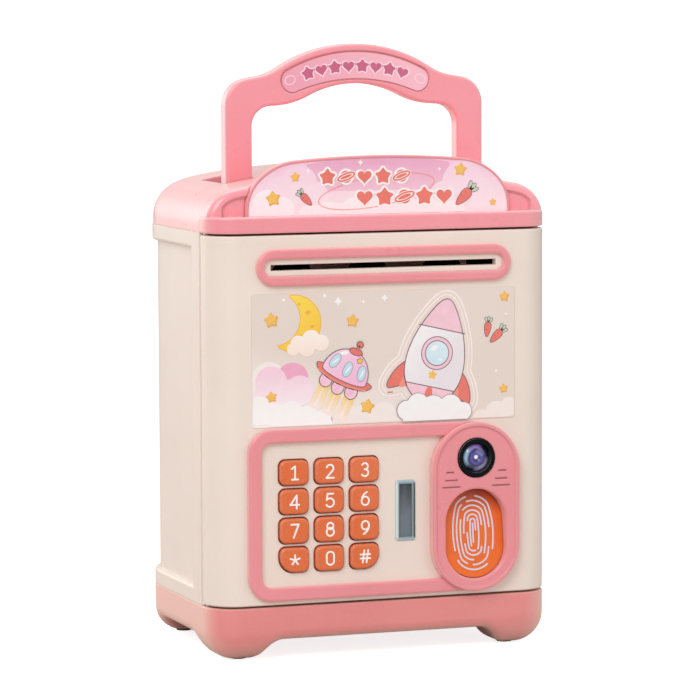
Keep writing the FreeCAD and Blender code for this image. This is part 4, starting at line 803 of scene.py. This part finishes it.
def print_stars():
    """Yellow stars and white glints over the sky of the film."""
    art = film_print("film_stars")
    big = ((-44.4, 14.9, 3.0, 8), (-12.7, 13.7, 2.6, -6), (-44.5, -13.5, 2.3, 10), (-7.0, -18.4, 3.0, -12),
           (2.0, -12.4, 1.7, 0), (47.9, 21.0, 2.1, 0), (47.6, -13.7, 1.9, 6))
    for place in big:
        art.star(*place, 6)
    glints = ((-39.6, 22.3, 0.9), (-23.6, 23.4, 1.0), (-18.3, 21.2, 1.9), (-8.4, 20.7, 0.9),
              (0.0, 21.9, 1.5), (44.6, -6.9, 0.8), (48.6, 14.4, 0.8))
    for x, y, radius in glints:
        art.add(sparkle(x, y, radius), "white", 2)
    art.done()


def print_saucer():
    """A flying saucer that climbs to the right on three beams."""
    art = film_print("film_saucer")

    def local(points):
        return placed(points, *SAUCER)

    for left in (-8.0, -2.6, 3.0):
        beam = [(left, -15.2), (left + 4.9, -15.2), (left + 4.6, -4.2), (left + 0.3, -4.2)]
        core = [(left + 1.9, -14.2), (left + 2.9, -14.2), (left + 2.7, -5), (left + 2.1, -5)]
        art.add(clipped(local(beam), FILM_BOX), "beam", 5)
        art.add(clipped(local(core), FILM_BOX), "beam_pale", 6)
    for cx, cy in ((-5.9, -3.7), (-0.4, -4.4), (5.2, -4.0)):
        art.outlined(local(ellipse(cx, cy, 2.3, 2.5)), "blush", 6)
        art.add(local(ellipse(cx - 0.5, cy + 0.2, 1.3, 1.6)), "saucer_dome", 8)
    rim = [(11.6 * px, 0.9 + (1.1 if py > 0 else 3.9) * py) for px, py in unit_circle(60)]
    art.outlined(local(rim), "coral", 8)
    shine = [(10.2 * px / 8, -1.2 - 1.5 * (1 - (px / 8) ** 2)) for px in range(-8, 9)]
    art.stroke(local(shine), 0.45, "coral_light", 10)
    dome = [(9.2 * px, 0.6 + (9.8 if py > 0 else 2.0) * py) for px, py in unit_circle(60)]
    art.outlined(local(dome), "saucer_dome", 10)
    for cx, cy, lean in ((-5.6, 4.2, -16), (0.3, 3.2, 0), (6.0, 3.9, 11)):
        pane = placed(softened([(-1.5, -2.8), (1.5, -2.8), (1.5, 2.8), (-1.5, 2.8)], 3, 0.25), cx, cy, lean)
        art.outlined(local(pane), "window", 12, "grey_line", 0.25)
        glint = placed(softened([(-0.2, -1.7), (0.5, -1.7), (0.5, 1.7), (-0.2, 1.7)]), cx, cy, lean - 14)
        art.add(local(glint), "white", 14)
    art.outlined(local(star(3.4, 8.0, 1.2, 20)), "star", 12, "line", 0.2)
    art.outlined(local(ellipse(0.5, 10.4, 2.5, 1.1, 4)), "coral", 12)
    art.outlined(local([(0.2, 11.0), (1.0, 11.0), (1.1, 13.0), (0.5, 13.0)]), "coral", 14, "line", 0.2)
    art.outlined(local(ellipse(0.9, 13.5, 1.05, 1.0)), "coral", 14)
    art.add(local(ellipse(-3.6, 8.2, 1.9, 0.7, 34)), "white", 12)
    art.done()


def rocket_body(half_w=11.2, half_h=18.5):
    """An egg with a drawn-out tip."""
    points = []
    for px, py in unit_circle(90):
        pinch = 1 - 0.26 * py
        tip = 2.4 * max(py, 0.0) ** 6
        points.append((half_w * px * pinch, half_h * py + tip))
    return points


def print_rocket():
    """A stout rocket with a raised clear margin round it, edged with pale lines that are partly contour and
    partly painted highlight, over its own cloud.
    """
    art = film_print("film_rocket")

    def local(points):
        return clipped(placed(points, *ROCKET), FILM_BOX)

    body = rocket_body()
    fin = [(-9.0, -2.5), (-15.2, -8.5), (-17.6, -16.4), (-12.8, -14.6), (-8.0, -12.0)]
    fin = softened(fin, 3, 0.24)
    other_fin = [(-px, py) for px, py in fin][::-1]
    round_it = [(px, py, 3.0) for px, py in body + fin + other_fin]
    margin = softened(union(round_it, (0.0, -3.0), None, 200), 2, 0.25)
    # pale lines along both edges of the raised margin: partly contour, partly painted highlight
    for growth, finish, level in ((0.5, "halo_contour_and_highlight", 2), (0.0, "halo", 4), (-1.0, "halo_contour_and_highlight", 6),
                                  (-1.35, "halo", 8)):
        art.add(local(grown(margin, growth)), finish, level)
    flame = [(-5.4, -15.5), (5.4, -15.5), (4.6, -20.5), (2.0, -19.4), (0.0, -24.0), (-2.0, -19.4),
             (-4.6, -20.5)]
    flame = softened(flame, 3)
    art.add(local(flame), "star_shade", 9)
    art.add(local(placed(flame, 0, -5.5, 0, 0.62)), "moon", 10)
    for side in (fin, other_fin):
        art.add(local(grown(side, 0.35)), "line", 9)
        art.add(local(side), "coral", 10)
        art.add(local(placed(side, 0.0, -3.4, 0, 0.72)), "coral_light", 11)
    art.add(local(grown(body, 0.35)), "line", 11)
    art.add(local(body), "rocket_white", 12)
    nose_from, tail_to = 9.6, -12.4
    art.add(local(clipped(body, (-20, 20, nose_from, 30))), "blush", 13)
    art.stroke(local([(px, nose_from) for px in (-9.2, -4.6, 0.0, 4.6, 9.2)]), 0.35, "line", 14)
    art.add(local(clipped(body, (-20, 20, -30, tail_to))), "blush", 13)
    art.stroke(local([(px, tail_to) for px in (-9.9, -5, 0, 5, 9.9)]), 0.35, "line", 14)
    art.outlined(local(ellipse(0, 0.4, 6.0, 6.0)), "blush", 13)
    art.outlined(local(ellipse(0, 0.4, 4.5, 4.5)), "window", 15)
    art.add(local(ellipse(-1.5, 2.1, 1.6, 0.9, 40)), "white", 17)
    art.add(local(ellipse(1.9, -1.7, 0.7, 0.45, 40)), "white", 17)
    art.add(local(star(0.0, -7.9, 1.9)), "star", 13)
    keel = [(-1.6, tail_to), (1.6, tail_to), (1.3, -19.4), (-1.3, -19.4)]
    art.outlined(local(softened(keel)), "coral", 15)
    puffs = ((8.4, -20.4, 3.6), (13.0, -18.4, 4.2), (19.0, -20.0, 4.8), (26.0, -19.6, 4.4),
             (31.0, -21.6, 3.4), (18.0, -25.0, 6.0), (12.0, -24.0, 5.0), (26.0, -25.0, 5.0))
    art.outlined(union(puffs, (19.0, -22.0), FILM_BOX), "white", 18, "grey_line", 0.25)
    art.done()


def carrot_on(art, x, y, turn, scale, level):
    """A plump carrot with three leaves; its tip points down before it is turned."""
    root = [(0.0, -4.6), (1.0, -2.6), (1.6, 0.2), (1.2, 1.8), (0.0, 2.2), (-1.2, 1.8), (-1.6, 0.2),
            (-1.0, -2.6)]
    for lean in (-32, 32, 0):
        leaf = placed(ellipse(0, 1.6, 0.6, 1.5, 0, 20), 0, 1.6, lean)
        art.outlined(placed(leaf, x, y, turn, scale), "leaf", level, "line", 0.2)
    art.outlined(placed(softened(root), x, y, turn, scale), "coral", level + 2, "line", 0.22)
    for dy in (0.6, -1.0):
        art.stroke(placed([(-0.9, dy), (-0.2, dy - 0.1)], x, y, turn, scale), 0.14, "line", level + 4)


def print_carrots():
    art = film_print("film_carrots")
    carrot_on(art, 41.2, 9.6, -8, 0.86, 1)
    carrot_on(art, 45.2, 6.8, -46, 0.98, 1)
    art.done()


def print_sign():
    """Sky, clouds, carrots and two rows of plain shapes on the sign."""
    low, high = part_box("sign_face")
    ground = low.z / MM
    half = high.x / MM
    sign_box = (-half + 0.4, half - 0.4, 0.3, high.z / MM - ground)
    art = Print("sign_print", "housing", low.y / MM, 0.0, ground)
    band = [(-28.5, 9.0), (28.0, 9.0), (28.0, 19.0), (20.0, 20.3), (10, 21.1), (0, 21.4), (-10, 21.1),
            (-20, 20.3), (-28.5, 19.0)]
    art.add(band, "sign_band", 1)
    left = ((-31.5, 11.6, 7.2), (-38.0, 8.0, 7.0), (-26.0, 7.0, 6.0))
    right = ((33.5, 11.0, 8.4), (40.0, 7.0, 6.4), (26.0, 6.0, 6.0))
    corner = ((-44.0, 4.4, 5.6), (-38.0, 2.6, 4.6), (-48.0, 1.6, 3.0))
    bank = ((0.0, 2.0, 6.0), (-10.0, 1.6, 5.0), (10.0, 1.8, 5.2), (-20.0, 0.8, 4.6), (20.0, 1.0, 4.8),
            (30.0, 0.4, 4.4), (-28.0, 0.4, 3.6))
    art.add(union(left, (-32.0, 9.0)), "sign_cloud", 2)
    art.add(union(right, (33.0, 8.4)), "sign_cloud", 2)
    art.add(union(corner, (-43.5, 3.4), sign_box), "sign_white", 3)
    art.add(union(bank, (0.0, 1.6), sign_box, 260), "sign_white", 3)
    art.stroke(ellipse(-1.0, 8.6, 23.2, 5.6, 9, 72), 0.3, "coral_light", 4, True)
    row_of_shapes(art, -20.4, 14.2, 7.3, 3.3, 2.3, ("star", "planet", "heart", "star", "planet"))
    row_of_shapes(art, -5.8, 6.4, 7.9, 3.7, 2.6, ("heart", "star", "planet", "star", "heart"))
    stars = ((-33.0, 14.4, 2.0, 4), (-41.6, 6.6, 3.1, 8), (32.4, 16.0, 2.7, -6), (45.4, 3.6, 1.5, 0))
    for place in stars:
        art.star(*place, 4)
    for x, y, radius in ((-7.4, 19.4, 1.2), (-28.0, 16.6, 1.0), (24.0, 16.4, 0.8)):
        art.add(sparkle(x, y, radius), "white", 5)
    carrot_on(art, -29.2, 6.6, 44, 0.86, 4)
    carrot_on(art, 34.4, 6.6, -46, 1.25, 4)
    art.done()


BACKING = 0.75              # width of the white line round the shapes on the sign


def row_of_shapes(art, x, y, step, star_size, planet_size, kinds):
    """A row of coral stars, hearts and ringed planets with a white line round them."""
    for kind in kinds:
        if kind == "heart":
            shape = heart(x, y, star_size - 0.4)
            backing = heart(x, y - 0.1, star_size + 0.6)
        else:
            round_shape = ellipse(x, y, planet_size, planet_size)
            shape = star(x, y, star_size) if kind == "star" else round_shape
            backing = grown(shape, BACKING)
        art.add(backing, "white", 6)
        art.add(shape, "coral", 7)
        if kind == "planet":
            ring = ellipse(x, y, planet_size * 1.5, planet_size * 0.5, 20)
            art.stroke(ring, 1.2, "white", 8, True)
            art.stroke(ring, 0.65, "coral", 9, True)
        x += step


PLAQUE_ARC = (150.0, 69.6)  # height of the centre of the arc along the handle's label, and its radius
PLAQUE_COUNT, PLAQUE_STEP = 8, -4.5         # shapes on the label, and degrees from one to the next


def on_plaque(angle):
    """Place on the arc of the handle's label at an angle in degrees."""
    centre_z, radius = PLAQUE_ARC
    return radius * math.cos(math.radians(angle)), centre_z + radius * math.sin(math.radians(angle))


def print_plaque():
    """Hearts and stars along the arc of the handle's label."""
    art = Print("plaque_print", "handle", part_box("handle_plaque")[0].y / MM)
    for step in range(PLAQUE_COUNT):
        angle = 90 + (step - (PLAQUE_COUNT - 1) / 2) * PLAQUE_STEP
        shape, backing = star(0, 0, 2.7), grown(star(0, 0, 2.7), 0.5)
        if step % 2:
            shape, backing = heart(0, 0, 2.4), heart(0, -0.1, 3.1)
        art.add(placed(backing, *on_plaque(angle), angle - 90), "plaque_light", 1)
        art.add(placed(shape, *on_plaque(angle), angle - 90), "plaque_deep", 2)
    for angle in (112.0, 68.0):
        art.stroke(ellipse(*on_plaque(angle), 2.1, 1.6, angle - 90, 28), 0.35, "plaque_light", 1, True)
    art.done()


# ---------------------------------------------------------------- keys and pod
LEGEND_STROKE = 0.66
LEGEND_UP = 2.45            # half the height of a figure
LEGEND_OUT = 1.45           # half its width
RIDGE_W = 0.62
PAD_LEAN = 4.3              # the pad's upper end lies this much deeper than its lower end
SLITS = ((45.3, 8.9, 12.15), (42.3, 7.5, 12.5), (39.7, 6.4, 13.6))  # height, inner and outer end
SLIT_HALF = 0.28            # half the height of the painted shade sheet in a slit
SLIT_DEPTH = 0.75           # from the pod's front edge to the painted shade sheet


def figure_strokes():
    """Strokes of the figures on the keys, as (points, closed), in millimetres about each key's middle."""
    up, out = LEGEND_UP, LEGEND_OUT

    def line(*points):
        return (list(points), False)

    def bowl(y, half_w, half_h):
        return (ellipse(0, y, half_w, half_h, 0, 28), True)

    zero = [(px * out, py * out + (up - out) * (1 if py > 0 else -1)) for px, py in unit_circle(32)]
    six = (bowl(-up + 1.6, out, 1.6),
           line((-out, -up + 1.6), (-out * 0.86, 0.5), (-out * 0.3, 1.7), (out * 0.45, up)))
    two = arc(0.0, up - 1.35, 1.35, 165, -38, 14) + [(-out, -up)]
    figures = {
        "0": ((zero, True),),
        "1": (line((-1.2, up - 0.95), (0.15, up)), line((0.15, up), (0.15, -up)),
              line((-1.15, -up), (1.35, -up))),
        "2": (line(*two), line((-out, -up), (out * 1.05, -up))),
        "3": (line(*arc(-0.1, up - 1.18, 1.18, 150, -95, 16)),
              line(*arc(-0.1, -up + 1.32, 1.32, 95, -150, 18))),
        "4": (line((0.75, -up), (0.75, up)), line((0.75, up), (-1.75, -1.05)),
              line((-1.75, -1.05), (1.65, -1.05))),
        "5": (line((out * 0.85, up), (-out * 0.72, up)), line((-out * 0.72, up), (-out * 0.92, 0.12)),
              line(*arc(-0.1, -up + 1.6, 1.6, 122, -150, 18))),
        "6": six,
        "7": (line((-out, up), (out, up)), line((out, up), (-0.5, -up))),
        "8": (bowl(-up + 1.5, out, 1.5), bowl(up - 1.22, out * 0.84, 1.22)),
        "9": tuple(([(-px, -py) for px, py in points], closed) for points, closed in six),
    }
    spokes = [math.radians(90 + 72 * step) for step in range(5)]
    figures["star"] = tuple(line((0.0, 0.0), (1.9 * math.cos(a), 1.9 * math.sin(a))) for a in spokes)
    bars = []
    for shift in (-0.75, 0.75):
        bars.append(line((shift - 0.35, -2.3), (shift + 0.35, 2.3)))
        bars.append(line((-1.9, shift), (1.9, shift)))
    figures["hash"] = tuple(bars)
    return figures


def print_legends():
    """The white figures, raised like thick print; each stroke lies a hair over the one before."""
    figures = figure_strokes()
    for name in sorted(figures):
        key = "key_" + name
        low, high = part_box(key)
        centre = (low + high) / 2 / MM
        art = Print(key + "_legend", key, low.y / MM, centre.x, centre.z)
        for level, (points, closed) in enumerate(figures[name]):
            art.stroke(points, LEGEND_STROKE, "white", 3 + level, closed)
        art.done()


def loop_part(half_w, half_h, start, end):
    """Part of a stadium loop from one share of its turn to another; share 0 is the right, 0.25 the top."""
    points = []
    count = int(abs(end - start) * 60) + 1
    for step in range(count + 1):
        angle = math.tau * (start + (end - start) * step / count)
        cos, sin = math.cos(angle), math.sin(angle)
        rise = max(-1.0, min(1.0, sin * 1.6)) * (half_h - half_w)
        points.append((half_w * cos, rise + half_w * sin))
    return points


def print_ridges():
    """Fingerprint ridges: nested broken loops on the sensor pad."""
    low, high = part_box("fingerprint_pad")
    centre = (low + high) / 2 / MM
    art = Print("fingerprint_ridges", "fingerprint_pad", low.y / MM, centre.x, centre.z)
    loops = (               # half width, half height, then where its parts start and end
        (1.1, 5.2, (0.02, 0.62)),
        (2.3, 6.8, (-0.12, 0.42), (0.5, 0.8)),
        (3.7, 8.4, (0.04, 0.5), (0.56, 0.92)),
        (5.1, 10.2, (-0.1, 0.38), (0.44, 0.74)),
        (6.6, 12.0, (0.02, 0.3), (0.36, 0.68), (0.74, 0.94)),
        (8.1, 13.8, (-0.06, 0.22), (0.3, 0.56), (0.6, 0.86)),
    )
    for half_w, half_h, *parts in loops:
        for start, end in parts:
            art.stroke(loop_part(half_w, half_h, start, end), RIDGE_W, "ridge", 6)
    art.stroke([(0.0, -3.6), (0.0, 0.0), (0.0, 3.4)], RIDGE_W, "ridge", 6)
    for corner in art.mesh.verts:
        corner.co.y += (corner.co.z - low.z) / (high.z - low.z) * PAD_LEAN * MM
    art.done()


def print_slits():
    """Dark rose sheets just inside the sound slits of the pod, painting the shade in the slits."""
    low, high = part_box("sensor_pod")
    middle = (low.x + high.x) / 2 / MM
    art = Print("painted_slit_shade", "door", low.y / MM + SLIT_DEPTH, middle, low.z / MM)
    for rise, inner, outer in SLITS:
        for side in (-1, 1):
            ends = (side * inner, side * outer)
            strip = [(ends[0], -1), (ends[1], -1), (ends[1], 1), (ends[0], 1)]
            # a painted shade sheet in each slit
            art.add([(x, rise + edge * SLIT_HALF) for x, edge in strip], "slit_shade", 1)
    art.done()


# ---------------------------------------------------------------- studio
LAMPS = (                   # name, place in metres, size, power, colour
    ("key", (-1.1, -1.5, 1.5), 1.2, 25.0, (0.97, 0.99, 1.0)),
    ("fill", (1.3, -1.6, 0.5), 1.4, 6.5, (0.98, 0.98, 1.0)),
    ("sheen", (-1.3, 1.7, 0.5), 1.7, 17.0, (0.98, 0.97, 0.96)),
    ("top", (0.1, 0.3, 1.8), 1.2, 12.0, (1.0, 0.99, 0.98)),
)
LAMPS_AIM = Vector((0, 0, 0.11))
SKY = 0.53                  # strength of the sky as the object sees it
SEEN_SKY = 1.2              # and as the camera sees it
FLOOR_GLOW = 0.8            # light that the floor gives off towards the camera only
VIEW_TARGET = Vector((3.57, 2.1, 110.42)) * MM
VIEW_AZIMUTH, VIEW_ELEVATION, VIEW_ROLL = math.radians(-19.7), math.radians(5.36), math.radians(-0.215)
VIEW_DISTANCE = 1.4669
LENS, SENSOR = 196.4, 36.0


def floor():
    """A wide pale floor. It shows white to the camera, and lends the object a slightly darker tone."""
    bpy.ops.mesh.primitive_plane_add(size=60)
    plane = bpy.context.object
    plane.name = "floor"
    paint = Finish("floor_paint", srgb(250, 249, 248), 1.0)
    paint.set("Specular IOR Level", 0.0)
    seen = paint.node("LightPath", {}).outputs["Is Camera Ray"]
    paper = paint.mix(paint.noise(1.5), srgb(246, 245, 244), srgb(250, 249, 248))
    paint.set("Base Color", paint.mix(seen, srgb(202, 192, 188), paper))
    paint.set("Emission Color", (1.0, 1.0, 1.0, 1.0))
    paint.set("Emission Strength", paint.math("MULTIPLY", seen, FLOOR_GLOW))
    plane.data.materials.append(paint.material)


def sky():
    """An even pale sky, brighter where the camera looks straight at it."""
    world = bpy.data.worlds.new("studio")
    bpy.context.scene.world = world
    world.use_nodes = True
    nodes, links = world.node_tree.nodes, world.node_tree.links
    background = nodes["Background"]
    background.inputs["Color"].default_value = (0.98, 0.99, 1.0, 1.0)
    rays = nodes.new("ShaderNodeLightPath")
    level = nodes.new("ShaderNodeMapRange")
    level.inputs["To Min"].default_value = SKY
    level.inputs["To Max"].default_value = SEEN_SKY
    links.new(rays.outputs["Is Camera Ray"], level.inputs["Value"])
    links.new(level.outputs["Result"], background.inputs["Strength"])


def lamps():
    """Square soft lights that all face the object."""
    for name, place, size, power, colour in LAMPS:
        lamp = bpy.data.lights.new(name, "AREA")
        lamp.shape, lamp.size, lamp.energy, lamp.color = "SQUARE", size, power, colour
        holder = bpy.data.objects.new(name, lamp)
        holder.location = place
        holder.rotation_mode = "QUATERNION"
        holder.rotation_quaternion = (LAMPS_AIM - Vector(place)).to_track_quat("-Z", "Y")
        bpy.context.scene.collection.objects.link(holder)


def camera():
    """A long lens from the front left, a little above the object."""
    level = math.cos(VIEW_ELEVATION)
    back = Vector((math.sin(VIEW_AZIMUTH) * level, -math.cos(VIEW_AZIMUTH) * level, math.sin(VIEW_ELEVATION)))
    data = bpy.data.cameras.new("view")
    data.sensor_width, data.lens = SENSOR, LENS
    data.clip_start, data.clip_end = 0.05, 80.0
    holder = bpy.data.objects.new("view", data)
    holder.location = VIEW_TARGET + back * VIEW_DISTANCE
    holder.rotation_mode = "QUATERNION"
    holder.rotation_quaternion = (-back).to_track_quat("-Z", "Y")
    holder.rotation_mode = "XYZ"
    holder.rotation_euler.rotate_axis("Z", VIEW_ROLL)
    bpy.context.scene.collection.objects.link(holder)
    bpy.context.scene.camera = holder


finish_cad_nodes()
print_clouds()
print_moon()
print_saucer()
print_stars()
print_carrots()
print_rocket()
print_sign()
print_plaque()
print_legends()
print_ridges()
print_slits()
coil_that_shortens()
floor()
sky()
lamps()
camera()
bpy.context.scene.view_settings.view_transform = "Standard"
